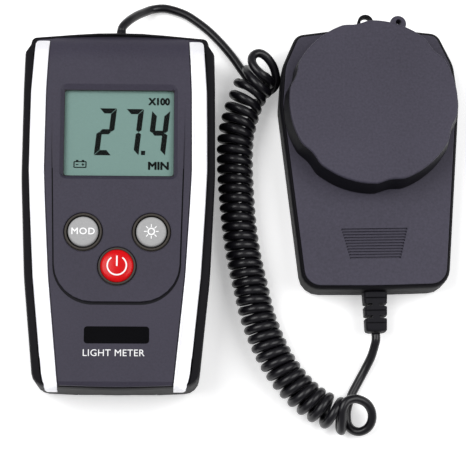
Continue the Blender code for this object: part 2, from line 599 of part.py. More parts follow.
def cap_outline(radius, steps=96):
    """A circle with shallow scallops in it."""
    points = []
    for i in range(steps):
        angle = 360 * i / steps
        spacing = 360 / CAP_SCALLOPS
        off = (angle - CAP_SCALLOP_TURN + spacing / 2) % spacing - spacing / 2
        share = min(1, abs(off) / CAP_SCALLOP_HALF)
        r = radius - CAP_SCALLOP_DEPTH * math.cos(math.pi / 2 * share)
        points.append((r * math.cos(math.radians(angle)), r * math.sin(math.radians(angle))))
    return points


def sensor_cap(head):
    """The lift-off cap with its scalloped edge and its tether lug."""
    levels = [(0, 0), (CAP_HEIGHT - 1.2, 0.2), (CAP_HEIGHT - 0.35, 0.55), (CAP_HEIGHT, 1.3)]
    rings = [[(x, y, z) for x, y in cap_outline(CAP_R - inset)] for z, inset in levels]
    base_z = HEAD_TOP_Z + GAP
    cap = solid("sensor_cap", stack(rings), "shell_grey", (0, DOME_Y, base_z), head)
    angle = math.radians(CAP_LUG_ANGLE)
    lug = (CAP_LUG_AT * math.cos(angle), CAP_LUG_AT * math.sin(angle), 0)
    shape(cap, "UNION", moved(rod(3.2, 5.7, 12.2, 20), lug))
    shape(cap, "DIFFERENCE", rod(CAP_BORE, -2, CAP_HEIGHT - 1.6, 64),
          moved(rod(1.1, 4, 14, 12), lug))


def sensor_head():
    head = bpy.data.objects.new("sensor_head_place", None)
    bpy.context.scene.collection.objects.link(head)
    head.location = (HEAD_PLACE[0] * MM, HEAD_PLACE[1] * MM, 0)
    head.rotation_euler.z = math.radians(HEAD_TURN)
    sensor_casings(head)
    sensor_inside(head)
    strain_relief(head)
    sensor_cap(head)


def build():
    for thing in list(bpy.data.objects):
        bpy.data.objects.remove(thing, do_unlink=True)
    rear_shell()
    front_shell()
    trim_strip("right_trim_strip", 1)
    trim_strip("left_trim_strip", -1)
    display()
    boards()
    keypad()
    battery()
    cord()
    sensor_head()
    bpy.context.view_layer.update()


build()
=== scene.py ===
import math

import bmesh
import bpy
from mathutils import Matrix, Vector


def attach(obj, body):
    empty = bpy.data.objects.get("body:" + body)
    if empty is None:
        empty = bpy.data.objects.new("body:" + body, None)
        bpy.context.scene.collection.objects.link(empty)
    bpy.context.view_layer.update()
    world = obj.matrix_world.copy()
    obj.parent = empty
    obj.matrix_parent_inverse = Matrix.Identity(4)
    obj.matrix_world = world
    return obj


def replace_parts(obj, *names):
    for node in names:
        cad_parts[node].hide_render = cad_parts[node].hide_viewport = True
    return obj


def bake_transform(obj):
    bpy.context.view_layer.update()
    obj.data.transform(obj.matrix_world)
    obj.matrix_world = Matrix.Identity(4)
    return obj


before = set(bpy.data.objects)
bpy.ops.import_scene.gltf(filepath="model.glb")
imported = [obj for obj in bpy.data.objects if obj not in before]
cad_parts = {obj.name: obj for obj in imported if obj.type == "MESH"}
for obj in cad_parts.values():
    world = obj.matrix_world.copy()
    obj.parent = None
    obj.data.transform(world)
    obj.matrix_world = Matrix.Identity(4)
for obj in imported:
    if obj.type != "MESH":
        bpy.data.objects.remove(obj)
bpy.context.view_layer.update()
mm = 0.001  # sizes below are in millimetres unless they say otherwise
print("frame loaded")


# camera and light

cameraSettings = {
    "place": (0.02186, -0.14331, 0.700), "aim": (0.0463, -0.0009, 0), "lens": 134.58, "sensor": 36,
}
lightSettings = {
    "sky": (0.98, 0.98, 1.0), "skyStrength": 0.30,
    # name: place, aim, size, watts
    "softbox": ((-0.55, 0.14, 0.95), (0.045, 0.0, 0), 0.80, 8.6),
    "fillBox": ((0.70, 0.06, 0.90), (0.05, 0.0, 0), 0.80, 6.6),
}


def pointAt(place, aim):
    back = (Vector(place) - Vector(aim)).normalized()
    right = Vector((0, 1, 0)).cross(back).normalized()
    up = back.cross(right)
    return Matrix(((*right, ), (*up, ), (*back, ))).transposed().to_4x4()


def makeCamera(settings):
    bpy.ops.object.camera_add(location=settings["place"])
    camera = bpy.context.active_object
    camera.name = "viewCamera"
    camera.rotation_euler = pointAt(settings["place"], settings["aim"]).to_euler()
    camera.data.lens = settings["lens"]
    camera.data.sensor_width = settings["sensor"]
    camera.data.clip_start = 0.01
    bpy.context.scene.camera = camera


def makeLights(settings):
    world = bpy.data.worlds.new("paleSky")
    world.use_nodes = True
    sky = world.node_tree.nodes["Background"]
    sky.inputs["Color"].default_value = (*settings["sky"], 1)
    sky.inputs["Strength"].default_value = settings["skyStrength"]
    bpy.context.scene.world = world
    for name in ("softbox", "fillBox"):
        place, aim, size, watts = settings[name]
        bpy.ops.object.light_add(type="AREA", location=place)
        light = bpy.context.active_object
        light.name = name
        light.rotation_euler = pointAt(place, aim).to_euler()
        light.data.size = size
        light.data.energy = watts


makeCamera(cameraSettings)
makeLights(lightSettings)
bpy.context.scene.view_settings.view_transform = "Standard"
print("camera and lights placed")


# materials

def newMaterial(name):
    material = bpy.data.materials.new(name)
    material.use_nodes = True
    return material, material.node_tree.nodes, material.node_tree.links


def addNode(nodes, kind, values, **options):
    node = nodes.new(kind)
    for name, value in options.items():
        setattr(node, name, value)
    for socket, value in values.items():
        node.inputs[socket].default_value = value
    return node


def linkAll(links, joins):
    # joins are (node, its output, next node, its input)
    for source, output, target, socket in joins:
        links.new(source.outputs[output], target.inputs[socket])


grainSettings = {
    "inputs": {"Grain Scale": 900.0, "Patch Scale": 40.0, "Dark": (0, 0, 0, 1), "Light": (1, 1, 1, 1),
               "Rough Low": 0.4, "Rough High": 0.5},
    "grainDetail": 3, "patchDetail": 2, "grainShare": 0.65, "patchShare": 0.35,
    "shadeRange": (0.3, 0.7), "reliefDistance": 0.1,
}


def makeGrainGroup(settings):
    # fine moulded grain: a shade that varies a little, a roughness mask and a height
    group = bpy.data.node_groups.new("mouldedGrain", "ShaderNodeTree")
    for name, value in settings["inputs"].items():
        kind = "NodeSocketFloat" if isinstance(value, float) else "NodeSocketColor"
        group.interface.new_socket(name, in_out="INPUT", socket_type=kind).default_value = value
    for name, kind in (("Color", "NodeSocketColor"), ("Roughness", "NodeSocketFloat"),
                       ("Height", "NodeSocketFloat")):
        group.interface.new_socket(name, in_out="OUTPUT", socket_type=kind)
    nodes = group.nodes
    given, made = nodes.new("NodeGroupInput"), nodes.new("NodeGroupOutput")
    place = nodes.new("ShaderNodeTexCoord")
    grain = addNode(nodes, "ShaderNodeTexNoise", {"Detail": settings["grainDetail"]})
    patch = addNode(nodes, "ShaderNodeTexNoise", {"Detail": settings["patchDetail"]})
    blend = addNode(nodes, "ShaderNodeMath", {1: settings["grainShare"]}, operation="MULTIPLY_ADD")
    soften = addNode(nodes, "ShaderNodeMath", {1: settings["patchShare"]}, operation="MULTIPLY")
    low, high = settings["shadeRange"]
    shade = addNode(nodes, "ShaderNodeMapRange", {"From Min": low, "From Max": high})
    colour = addNode(nodes, "ShaderNodeMix", {}, data_type="RGBA")
    rough = nodes.new("ShaderNodeMapRange")
    linkAll(group.links, (
        (place, "Object", grain, "Vector"), (place, "Object", patch, "Vector"),
        (given, "Grain Scale", grain, "Scale"), (given, "Patch Scale", patch, "Scale"),
        (patch, "Fac", soften, 0), (grain, "Fac", blend, 0), (soften, 0, blend, 2),
        (blend, 0, shade, "Value"), (shade, "Result", colour, "Factor"),
        (given, "Dark", colour, "A"), (given, "Light", colour, "B"),
        (blend, 0, rough, "Value"), (given, "Rough Low", rough, "To Min"),
        (given, "Rough High", rough, "To Max"), (colour, "Result", made, "Color"),
        (rough, "Result", made, "Roughness"), (grain, "Fac", made, "Height")))
    return group


grainGroup = makeGrainGroup(grainSettings)


def grainedMaterial(name, dark, light, rough, grain, patch, bump, metallic=0.0, specular=0.5):
    material, nodes, links = newMaterial(name)
    shader = nodes["Principled BSDF"]
    shader.inputs["Metallic"].default_value = metallic
    shader.inputs["Specular IOR Level"].default_value = specular
    grainNode = nodes.new("ShaderNodeGroup")
    grainNode.node_tree = grainGroup
    for socket, value in (("Grain Scale", grain), ("Patch Scale", patch), ("Dark", (*dark, 1)),
                          ("Light", (*light, 1)), ("Rough Low", rough[0]), ("Rough High", rough[1])):
        grainNode.inputs[socket].default_value = value
    distance = grainSettings["reliefDistance"] * mm
    relief = addNode(nodes, "ShaderNodeBump", {"Strength": bump, "Distance": distance})
    linkAll(links, ((grainNode, "Height", relief, "Height"), (relief, "Normal", shader, "Normal"),
                    (grainNode, "Color", shader, "Base Color"),
                    (grainNode, "Roughness", shader, "Roughness")))
    return material


finishSettings = {
    # name: darker and lighter shade, roughness, grain scale, patch scale, bump, metallic, specular
    "panelGrey": ((0.029, 0.0255, 0.0415), (0.043, 0.0385, 0.060), (0.5, 0.62), 1400, 30, 0.12, 0, 0.3),
    "headGrey": ((0.034, 0.0305, 0.047), (0.055, 0.050, 0.075), (0.5, 0.62), 1100, 25, 0.22, 0, 0.3),
    "trayBlack": ((0.0035, 0.0032, 0.0045), (0.007, 0.0065, 0.009), (0.55, 0.68), 1800, 50, 0.12, 0,
                  0.12),
    "capBlack": ((0.004, 0.004, 0.006), (0.008, 0.0075, 0.011), (0.5, 0.6), 1600, 50, 0.12, 0, 0.15),
    "silverPaint": ((0.86, 0.86, 0.90), (0.95, 0.95, 0.98), (0.2, 0.3), 2500, 60, 0.02, 0.15),
    "matRubber": ((0.044, 0.039, 0.034), (0.066, 0.058, 0.051), (0.5, 0.6), 1500, 60, 0.1, 0, 0.2),
    "keyGrey": ((0.33, 0.33, 0.335), (0.40, 0.40, 0.40), (0.5, 0.6), 1500, 60, 0.06, 0, 0.3),
    "keyRed": ((0.56, 0.0, 0.002), (0.68, 0.001, 0.004), (0.25, 0.32), 900, 60, 0.02, 0, 0.25),
    "plaqueBlack": ((0.001, 0.001, 0.0015), (0.002, 0.002, 0.003), (0.35, 0.45), 1500, 60, 0.02, 0,
                    0.04),
    "legendWhite": ((0.86, 0.86, 0.86), (0.95, 0.95, 0.95), (0.4, 0.5), 2000, 60, 0.03),
    "lcdGreen": ((0.190, 0.305, 0.277), (0.215, 0.342, 0.310), (0.35, 0.45), 2600, 18, 0.01, 0, 0.1),
    "lcdInk": ((0.0006, 0.0007, 0.0007), (0.0015, 0.0016, 0.0016), (0.5, 0.6), 2000, 60, 0.02, 0, 0.05),
    "cordBlack": ((0.0035, 0.0032, 0.0048), (0.0075, 0.007, 0.0098), (0.27, 0.35), 700, 90, 0.08, 0,
                  0.4),
    "partBlack": ((0.010, 0.010, 0.011), (0.018, 0.018, 0.019), (0.45, 0.55), 1500, 60, 0.1, 0, 0.2),
    "boardGreen": ((0.012, 0.12, 0.045), (0.02, 0.19, 0.07), (0.25, 0.4), 800, 120, 0.1),
    "diffuserWhite": ((0.78, 0.77, 0.74), (0.86, 0.85, 0.82), (0.45, 0.55), 1200, 40, 0.06),
    "zincSteel": ((0.45, 0.45, 0.46), (0.62, 0.62, 0.64), (0.22, 0.38), 1800, 200, 0.1, 1.0),
    "batteryBlue": ((0.02, 0.05, 0.17), (0.035, 0.075, 0.22), (0.25, 0.35), 900, 90, 0.04, 0.3),
    "wireRed": ((0.5, 0.012, 0.012), (0.65, 0.02, 0.02), (0.35, 0.45), 1500, 90, 0.04),
    "filterGreen": ((0.10, 0.33, 0.15), (0.14, 0.42, 0.2), (0.06, 0.1), 900, 40, 0.0),
    "paleFloor": ((0.96, 0.96, 0.96), (0.98, 0.98, 0.98), (0.8, 0.9), 20, 2, 0.0, 0, 0.1),
}
clearSettings = {"tint": (0.05, 0.07, 0.065), "alpha": 0.05, "specular": 0.2, "hazeScale": 60,
                 "rough": (0.04, 0.12)}


def makeClearMaterial(settings):
    material, nodes, links = newMaterial("clearPane")
    shader = nodes["Principled BSDF"]
    shader.inputs["Base Color"].default_value = (*settings["tint"], 1)
    shader.inputs["Alpha"].default_value = settings["alpha"]
    shader.inputs["Specular IOR Level"].default_value = settings["specular"]
    haze = addNode(nodes, "ShaderNodeTexNoise", {"Scale": settings["hazeScale"]})
    low, high = settings["rough"]
    spread = addNode(nodes, "ShaderNodeMapRange", {"To Min": low, "To Max": high})
    place = nodes.new("ShaderNodeTexCoord")
    linkAll(links, ((place, "Object", haze, "Vector"), (haze, "Fac", spread, "Value"),
                    (spread, "Result", shader, "Roughness")))
    return material


finishes = {name: grainedMaterial(name, *values) for name, values in finishSettings.items()}
finishes["clearPane"] = makeClearMaterial(clearSettings)

nodeFinishes = {
    "trayBlack": ["rear_shell", "battery_cover", "sensor_rear_casing", "diffuser_ring"],
    "panelGrey": ["front_shell"],
    "headGrey": ["sensor_front_casing", "sensor_cap"],
    "silverPaint": ["right_trim_strip", "left_trim_strip"],
    "clearPane": ["display_window"],
    "lcdGreen": ["lcd_panel"],
    "diffuserWhite": ["lcd_frame", "backlight_panel", "cord_socket", "diffuser_dome"],
    "partBlack": ["lcd_connector", "processor_chip", "battery_snap", "battery_lead_black",
                  "filter_holder", "photodiode"],
    "boardGreen": ["main_board", "sensor_board"],
    "zincSteel": [f"{kind}_screw_{i}" for kind in ("board", "case", "sensor") for i in (1, 2, 3, 4)]
                 + ["mode_switch", "light_switch", "power_switch"],
    "matRubber": ["keypad_mat"],
    "keyGrey": ["mode_button", "light_button"],
    "keyRed": ["power_button"],
    "batteryBlue": ["battery"],
    "wireRed": ["battery_lead_red"],
    "filterGreen": ["colour_filter"],
    "cordBlack": ["cord_grommet", "cord_inner_lead", "cord_upper_lead", "curly_cord",
                  "cord_sensor_tail", "sensor_inner_lead", "sensor_strain_relief"],
}


def paint(piece, finish):
    piece.data.materials.clear()
    piece.data.materials.append(finishes[finish])


def paintFrame():
    for finish, names in nodeFinishes.items():
        for name in names:
            paint(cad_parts[name], finish)


paintFrame()
print("frame painted")


def deselectAll():
    if bpy.context.mode != "OBJECT":
        bpy.ops.object.mode_set(mode="OBJECT")
    bpy.ops.object.select_all(action="DESELECT")


def makeActive(piece):
    deselectAll()
    bpy.context.view_layer.objects.active = piece
    piece.select_set(True)


def editAll(piece):
    # into edit mode, with the whole piece selected
    makeActive(piece)
    bpy.ops.object.mode_set(mode="EDIT")
    bpy.ops.mesh.select_all(action="SELECT")


def cleanMesh(piece, distance=0.000002):
    editAll(piece)
    bpy.ops.mesh.remove_doubles(threshold=distance)
    bpy.ops.mesh.normals_make_consistent(inside=False)
    bpy.ops.object.mode_set(mode="OBJECT")


# the cord, one length from the display unit's bushing to the sensor head's strain relief

cordSettings = {
    "diameter": 3.6, "length": 1.57, "pointSpacing": 0.9, "bevelSteps": 4, "exit": (0, 76.5, 14),
    "upperLead": [(0, 76.5, 14), (0.5, 78.8, 13.7), (3, 82.2, 11.6), (6.2, 85.6, 8.2),
                  (9.6, 88.3, 4.8), (12.8, 90.2, 2.6), (18.2, 90.8, 1.9), (25.7, 88.5, 1.9),
                  (31, 85.2, 1.9), (35.9, 81.3, 1.9), (40, 77.2, 1.9), (43.5, 73.2, 1.9),
                  (46.6, 69.2, 1.9), (49.9, 64.3, 1.9)],
    # the two loose turns at the coil's upper end
    "upperTurns": [(53.1, 59.9, 1.9), (56.6, 56.2, 1.9), (60.1, 54.7, 3), (62.9, 55.8, 5.6),
                   (63.8, 58.6, 8.6), (62.6, 62.8, 11.6), (59.8, 66.3, 13.8), (56.8, 67.8, 14.9),
                   (54.3, 66.8, 15.6), (53.4, 64.2, 16.4), (54.4, 61.2, 17.3), (57, 58.4, 17.5),
                   (59.8, 57, 15.8), (61.4, 56.2, 12.2), (60.6, 56.2, 8.8), (57.2, 58.9, 6.7),
                   (53.4, 61.7, 7.4), (51.6, 62.4, 10.3), (51.7, 60.2, 13.6), (53.9, 56.3, 16.3),
                   (57, 53.2, 16.2), (60, 51.9, 12.4), (58.6, 52.6, 7.2), (54, 56, 4.6)],
    "coilAxis": [(53.6, 54.2, 8.8), (51.4, 49.6, 8.2), (49.8, 45.3, 7.9), (48.6, 40.9, 7.8),
                 (47.6, 36.8, 7.8), (47, 32.7, 7.8), (46.8, 26.6, 7.8), (46.9, 18.6, 7.7),
                 (47.4, 10.6, 7.6), (48.1, 0.8, 7.5), (49.4, -9.9, 7.4), (51.1, -19.4, 7.4),
                 (53.3, -28.8, 7.4), (55.4, -38.2, 7.4), (57.9, -45.6, 7.4), (60.9, -52.8, 7.4),
                 (64.6, -59.7, 7.4), (69.5, -66.5, 7.4), (75.4, -72.6, 7.4), (82.4, -77.2, 7.4),
                 (91, -80.4, 7.4)],
    # the coil's centreline radius narrows over its first turns
    # pitches are (turn, distance to the next turn)
    "coilRadius": 5.95, "narrowing": 0.5, "narrowingTurns": 14,
    "pitches": [(0, 5.3), (1, 4.8), (4, 4.2), (10, 4), (18, 3.8), (28, 3.85), (33, 4.2),
                (35.5, 4.6), (37, 8)],
    "turns": 37, "pointsPerTurn": 16, "firstAngle": -90,
    # the open turn at the coil's lower end, and the tail
    "lowerTurn": [(89, -81.8, 11), (89, -78, 13.2), (90.5, -74.9, 13.6), (93, -73.7, 13),
                  (95.8, -73.7, 12), (99.1, -75.2, 10.6), (101.1, -78.2, 9), (101.3, -81.6, 7.2),
                  (99.8, -84.4, 5.5), (96.9, -85.8, 4), (94, -85, 2.8), (92.2, -82.6, 2.1),
                  (91.8, -78.8, 1.9), (92.5, -75.1, 1.9)],
    "tail": [(94.1, -70.5, 1.9), (96, -66.9, 1.9), (98, -63.3, 2.1), (100, -59.5, 3.1),
             (101.8, -55.7, 4.9), (103, -51.5, 7), (103.42, -49.4, 8.1), (103.38, -46.79, 8.15)],
}


def smoothRoute(points, spacing):
    # evenly spaced points on one smooth curve through the given points
    knots = [Vector(p) for p in points]
    ends = [2 * knots[0] - knots[1], *knots, 2 * knots[-1] - knots[-2]]
    fine = []
    for a, b, c, d in zip(ends, ends[1:], ends[2:], ends[3:]):
        for step in range(8):
            t = step / 8
            fine.append(((2 * b) + (c - a) * t + (2 * a - 5 * b + 4 * c - d) * t ** 2
                         + (3 * b - a - 3 * c + d) * t ** 3) / 2)
    fine.append(knots[-1])
    reached = [0.0]
    for a, b in zip(fine, fine[1:]):
        reached.append(reached[-1] + (b - a).length)
    count = max(2, round(reached[-1] / spacing))
    route, at = [], 0
    for i in range(count + 1):
        wanted = reached[-1] * i / count
        while at < len(fine) - 2 and reached[at + 1] < wanted:
            at += 1
        share = (wanted - reached[at]) / max(reached[at + 1] - reached[at], 1e-9)
        route.append(fine[at].lerp(fine[at + 1], share))
    return route


def reachOfTurn(pitches, turn):
    # how far along the coil a turn lies, with the pitch changing evenly between the given turns
    reach = 0
    for (first, pitch), (last, nextPitch) in zip(pitches, pitches[1:]):
        if turn <= first:
            break
        end = min(turn, last)
        endPitch = pitch + (nextPitch - pitch) * (end - first) / (last - first)
        reach += (pitch + endPitch) / 2 * (end - first)
    return reach


def coilPoints(settings):
    # the coil's turns round its axis; they wind to the left
    axis = smoothRoute(settings["coilAxis"], 0.25)
    turns, perTurn, pitches = settings["turns"], settings["pointsPerTurn"], settings["pitches"]
    whole = reachOfTurn(pitches, turns)
    points = []
    for i in range(turns * perTurn + 1):
        turn = i / perTurn
        at = reachOfTurn(pitches, turn) / whole * (len(axis) - 1)
        low = min(int(at), len(axis) - 2)
        centre = axis[low].lerp(axis[low + 1], at - low)
        ahead = (axis[min(low + 8, len(axis) - 1)] - axis[max(low - 8, 0)]).normalized()
        across = Vector((-ahead.y, ahead.x, 0)).normalized()
        narrowed = min(1, turn / settings["narrowingTurns"])
        radius = settings["coilRadius"] - settings["narrowing"] * narrowed
        angle = math.radians(settings["firstAngle"] + 360 * turn)
        arm = Vector((0, 0, 1)) * math.cos(angle) + across * math.sin(angle)
        points.append(centre + radius * arm)
    return points


def makeCord(settings):
    route = (settings["upperLead"] + settings["upperTurns"] + coilPoints(settings)
             + settings["lowerTurn"] + settings["tail"])
    centreline = [p * mm for p in smoothRoute(route, settings["pointSpacing"])]
    curve = bpy.data.curves.new("cordCurve", "CURVE")
    curve.dimensions = "3D"
    curve.bevel_depth = settings["diameter"] / 2 * mm
    curve.bevel_resolution = settings["bevelSteps"]
    curve.use_fill_caps = True
    line = curve.splines.new("POLY")
    line.points.add(len(centreline) - 1)
    for point, place in zip(line.points, centreline):
        point.co = (*place, 1)
    cord = bpy.data.objects.new("cordWhole", curve)
    bpy.context.scene.collection.objects.link(cord)
    makeActive(cord)
    bpy.ops.object.convert(target="MESH")
    cord = bpy.context.active_object
    cleanMesh(cord, 0.00001)
    bpy.ops.object.shade_smooth()
    length = sum((b - a).length for a, b in zip(centreline, centreline[1:]))
    print(f"cord is {length:.3f} m long")
    return cord, centreline


cord, cordPath = makeCord(cordSettings)
paint(cord, "cordBlack")
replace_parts(cord, "cord_upper_lead", "curly_cord", "cord_sensor_tail")
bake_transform(cord)
print("cord laid")


# shaping

def growRings(name, rings):
    # a circle laid on the first ring, then extruded from ring to ring
    deselectAll()
    bpy.ops.mesh.primitive_circle_add(vertices=len(rings[0]), radius=mm, fill_type="NGON")
    piece = bpy.context.active_object
    piece.name = name
    bpy.ops.object.mode_set(mode="EDIT")
    shape = bmesh.from_edit_mesh(piece.data)
    order = shape.verts.layers.int.new("ringOrder")
    for i, vert in enumerate(shape.verts):
        vert[order] = i
    bpy.ops.mesh.select_all(action="SELECT")
    for step, ring in enumerate(rings):
        if step:
            bpy.ops.mesh.extrude_region_move()
        shape = bmesh.from_edit_mesh(piece.data)
        order = shape.verts.layers.int["ringOrder"]
        for vert in shape.verts:
            if vert.select:
                vert.co = Vector(ring[vert[order]]) * mm
        bmesh.update_edit_mesh(piece.data)
    bpy.ops.object.mode_set(mode="OBJECT")
    piece.data.attributes.remove(piece.data.attributes["ringOrder"])
    cleanMesh(piece)
    return piece


def flatShape(name, points, low, high):
    return growRings(name, [[(x, y, z) for x, y in points] for z in (low, high)])


def arcPoints(centre, radius, angles):
    return [(centre[0] + radius * math.cos(a), centre[1] + radius * math.sin(a)) for a in angles]


def turnedPiece(name, profile, centre, steps=48):
    # a profile of (radius, height) turned about a vertical axis, solid to its middle
    angles = [2 * math.pi * i / steps for i in range(steps)]
    return growRings(name, [[(x, y, height) for x, y in arcPoints(centre, radius, angles)]
                            for radius, height in profile])


def roundCutter(radius, heights, centre, steps):
    return turnedPiece("roundCutter", [(radius, height) for height in heights], centre, steps)


def spunRing(name, section, centre, steps=64):
    # a closed section of (radius, height) spun about a vertical axis
    deselectAll()
    bpy.ops.mesh.primitive_circle_add(vertices=len(section), radius=mm, fill_type="NOTHING")
    piece = bpy.context.active_object
    piece.name = name
    for vert, (radius, height) in zip(piece.data.vertices, section):
        vert.co = Vector((centre[0] + radius, centre[1], height)) * mm
    editAll(piece)
    bpy.ops.mesh.spin(steps=steps, angle=2 * math.pi, center=(centre[0] * mm, centre[1] * mm, 0),
                      axis=(0, 0, 1))
    bpy.ops.object.mode_set(mode="OBJECT")
    cleanMesh(piece, 0.00001)
    return piece


def addBar(name, size, place, turn=0.0):
    # a block of a size, its middle at place, turned about its own vertical axis in degrees
    deselectAll()
    bpy.ops.mesh.primitive_cube_add(size=1, location=Vector(place) * mm, scale=Vector(size) * mm,
                                    rotation=(0, 0, math.radians(turn)))
    piece = bpy.context.active_object
    piece.name = name
    bpy.ops.object.transform_apply(location=True, rotation=True, scale=True)
    return piece


def joinPieces(name, pieces):
    makeActive(pieces[0])
    for piece in pieces[1:]:
        piece.select_set(True)
    if len(pieces) > 1:
        bpy.ops.object.join()
    pieces[0].name = name
    return pieces[0]


def applyModifier(piece, kind, **options):
    makeActive(piece)
    step = piece.modifiers.new("step", kind)
    for name, value in options.items():
        setattr(step, name, value)
    bpy.ops.object.modifier_apply(modifier=step.name)


def carve(piece, tool, operation="DIFFERENCE"):
    applyModifier(piece, "BOOLEAN", operation=operation, solver="EXACT", object=tool)
    bpy.data.objects.remove(tool, do_unlink=True)


def softenEdges(piece, width, sharpest=50):
    applyModifier(piece, "BEVEL", width=width * mm, segments=2, limit_method="ANGLE",
                  angle_limit=math.radians(sharpest), use_clamp_overlap=True)


def copyOfNode(name, newName):
    # a copy of a frame node's mesh, with its loose triangles merged into flat faces
    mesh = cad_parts[name].data.copy()
    piece = bpy.data.objects.new(newName, mesh)
    bpy.context.scene.collection.objects.link(piece)
    editAll(piece)
    bpy.ops.mesh.remove_doubles(threshold=0.000002)
    bpy.ops.mesh.dissolve_limited(angle_limit=math.radians(0.4))
    bpy.ops.object.mode_set(mode="OBJECT")
    return piece


def addText(name, words, box, low, high, bold=0.0, spacing=1.0):
    # words raised from low to high, stretched to fill a box of (left, right, bottom, top)
    deselectAll()
    bpy.ops.object.text_add()
    text = bpy.context.active_object
    text.data.body = words
    text.data.size = 5 * mm
    text.data.space_character = spacing
    text.data.extrude = (high - low) / 2 * mm
    text.data.resolution_u = 3
    bpy.ops.object.convert(target="MESH")
    piece = bpy.context.active_object
    piece.name = name
    left, right, bottom, top = (v * mm for v in box)
    xs = [v.co.x for v in piece.data.vertices]
    ys = [v.co.y for v in piece.data.vertices]
    scale = ((right - left) / (max(xs) - min(xs)), (top - bottom) / (max(ys) - min(ys)))
    piece.scale = (*scale, 1)
    piece.location = (left - min(xs) * scale[0], bottom - min(ys) * scale[1], (low + high) / 2 * mm)
    bpy.ops.object.transform_apply(location=True, rotation=True, scale=True)
    cleanMesh(piece)
    if not bold:
        return piece
    # bolder strokes, from copies set a little to every side
    copies = [piece]
    sides, lift = 8, 0.0015
    for i in range(sides):
        makeActive(piece)
        bpy.ops.object.duplicate()
        angle = 2 * math.pi * i / sides
        move = Vector((bold * math.cos(angle), bold * math.sin(angle), lift * (i + 1))) * mm
        bpy.ops.transform.translate(value=move)
        copies.append(bpy.context.active_object)
    return joinPieces(name, copies)


def finishPiece(piece, finish, body, replaced=(), angle=32):
    paint(piece, finish)
    makeActive(piece)
    bpy.ops.object.shade_smooth_by_angle(angle=math.radians(angle))
    applyModifier(piece, "WEIGHTED_NORMAL", keep_sharp=True, weight=90)
    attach(piece, body)
    if replaced:
        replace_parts(piece, *replaced)
    return piece


# outlines of the two housings, their corners as (x, y, radius)

def bothSides(bottom, side, top):
    return [bottom, *side, top, *[(-x, y, r) for x, y, r in reversed(side)]]


def insetCorners(corners, distance):
    moved = []
    for i, (x, y, radius) in enumerate(corners):
        here = Vector((x, y))
        before = (here - Vector(corners[i - 1][:2])).normalized()
        after = (Vector(corners[(i + 1) % len(corners)][:2]) - here).normalized()
        inward = Vector((-before.y, before.x)) + Vector((-after.y, after.x))
        place = here + inward * (2 * distance / inward.length_squared)
        turn = distance if before.cross(after) > 0 else -distance
        moved.append((place.x, place.y, max(radius - turn, 0.05)))
    return moved


def roundedOutline(corners, steps=6):
    points = []
    for i, (x, y, radius) in enumerate(corners):
        here = Vector((x, y))
        back = (Vector(corners[i - 1][:2]) - here).normalized()
        ahead = (Vector(corners[(i + 1) % len(corners)][:2]) - here).normalized()
        half = back.angle(ahead) / 2
        reach = radius / math.tan(half)
        centre = here + (back + ahead).normalized() * (radius / math.sin(half))
        first = here + back * reach - centre
        sweep = first.angle_signed(here + ahead * reach - centre)
        for step in range(steps + 1):
            arm = first.copy()
            arm.rotate(Matrix.Rotation(-sweep * step / steps, 2))
            points.append(tuple(centre + arm))
    return points


def layeredPiece(name, corners, levels, steps=6):
    # an outline grown through levels of (height, inset)
    return growRings(name, [[(x, y, z) for x, y in roundedOutline(insetCorners(corners, inset), steps)]
                            for z, inset in levels])


def boxCorners(left, right, bottom, top, radius):
    return [(right, bottom, radius), (right, top, radius), (left, top, radius), (left, bottom, radius)]


def arcOutline(centre, radius, stroke, first, last, steps=24):
    # a flat arc of a ring, from one angle to another in degrees
    angles = [math.radians(first + (last - first) * i / steps) for i in range(steps + 1)]
    return (arcPoints(centre, radius + stroke / 2, angles)
            + arcPoints(centre, radius - stroke / 2, reversed(angles)))


def between(pair, share):
    return pair[0] + (pair[1] - pair[0]) * share


meterShape = {
    "frontSide": [(28.2, -70.4, 3), (32.7, -28, 150), (35.1, 12, 150), (34.9, 46, 150),
                  (33.4, 67.5, 2)],
    "panelSide": [(21.9, -70.6, 1), (26.2, -28, 150), (28.6, 12, 150), (28.4, 46, 150),
                  (27.4, 68.2, 1)],
    "frontEnds": ((0, -71.2, 200), (0, 70.9, 200)),
    "plateau": [(26.8, 60, 0.5), (-26.8, 60, 0.5), (-23.9, -38.4, 15), (23.9, -38.4, 15)],
    "panelTop": 34.0, "slopeTopY": 46.0, "slopeDrop": 1.6, "slopeLength": 126.0,
}


def panelHeight(y):
    # the panel's height outside its raised middle, which falls towards the bottom end
    return meterShape["panelTop"] - meterShape["slopeDrop"] * max(0, meterShape["slopeTopY"] - y) \
        / meterShape["slopeLength"]


def outlineSide(points, y):
    # where the right side of an outline crosses a height y
    right = sorted((p for p in points if p[0] > 15), key=lambda p: p[1])
    for low, high in zip(right, right[1:]):
        if low[1] <= y <= high[1] and high[1] > low[1]:
            return low[0] + (high[0] - low[0]) * (y - low[1]) / (high[1] - low[1])
    return right[0][0] if y < right[0][1] else right[-1][0]


# front panel

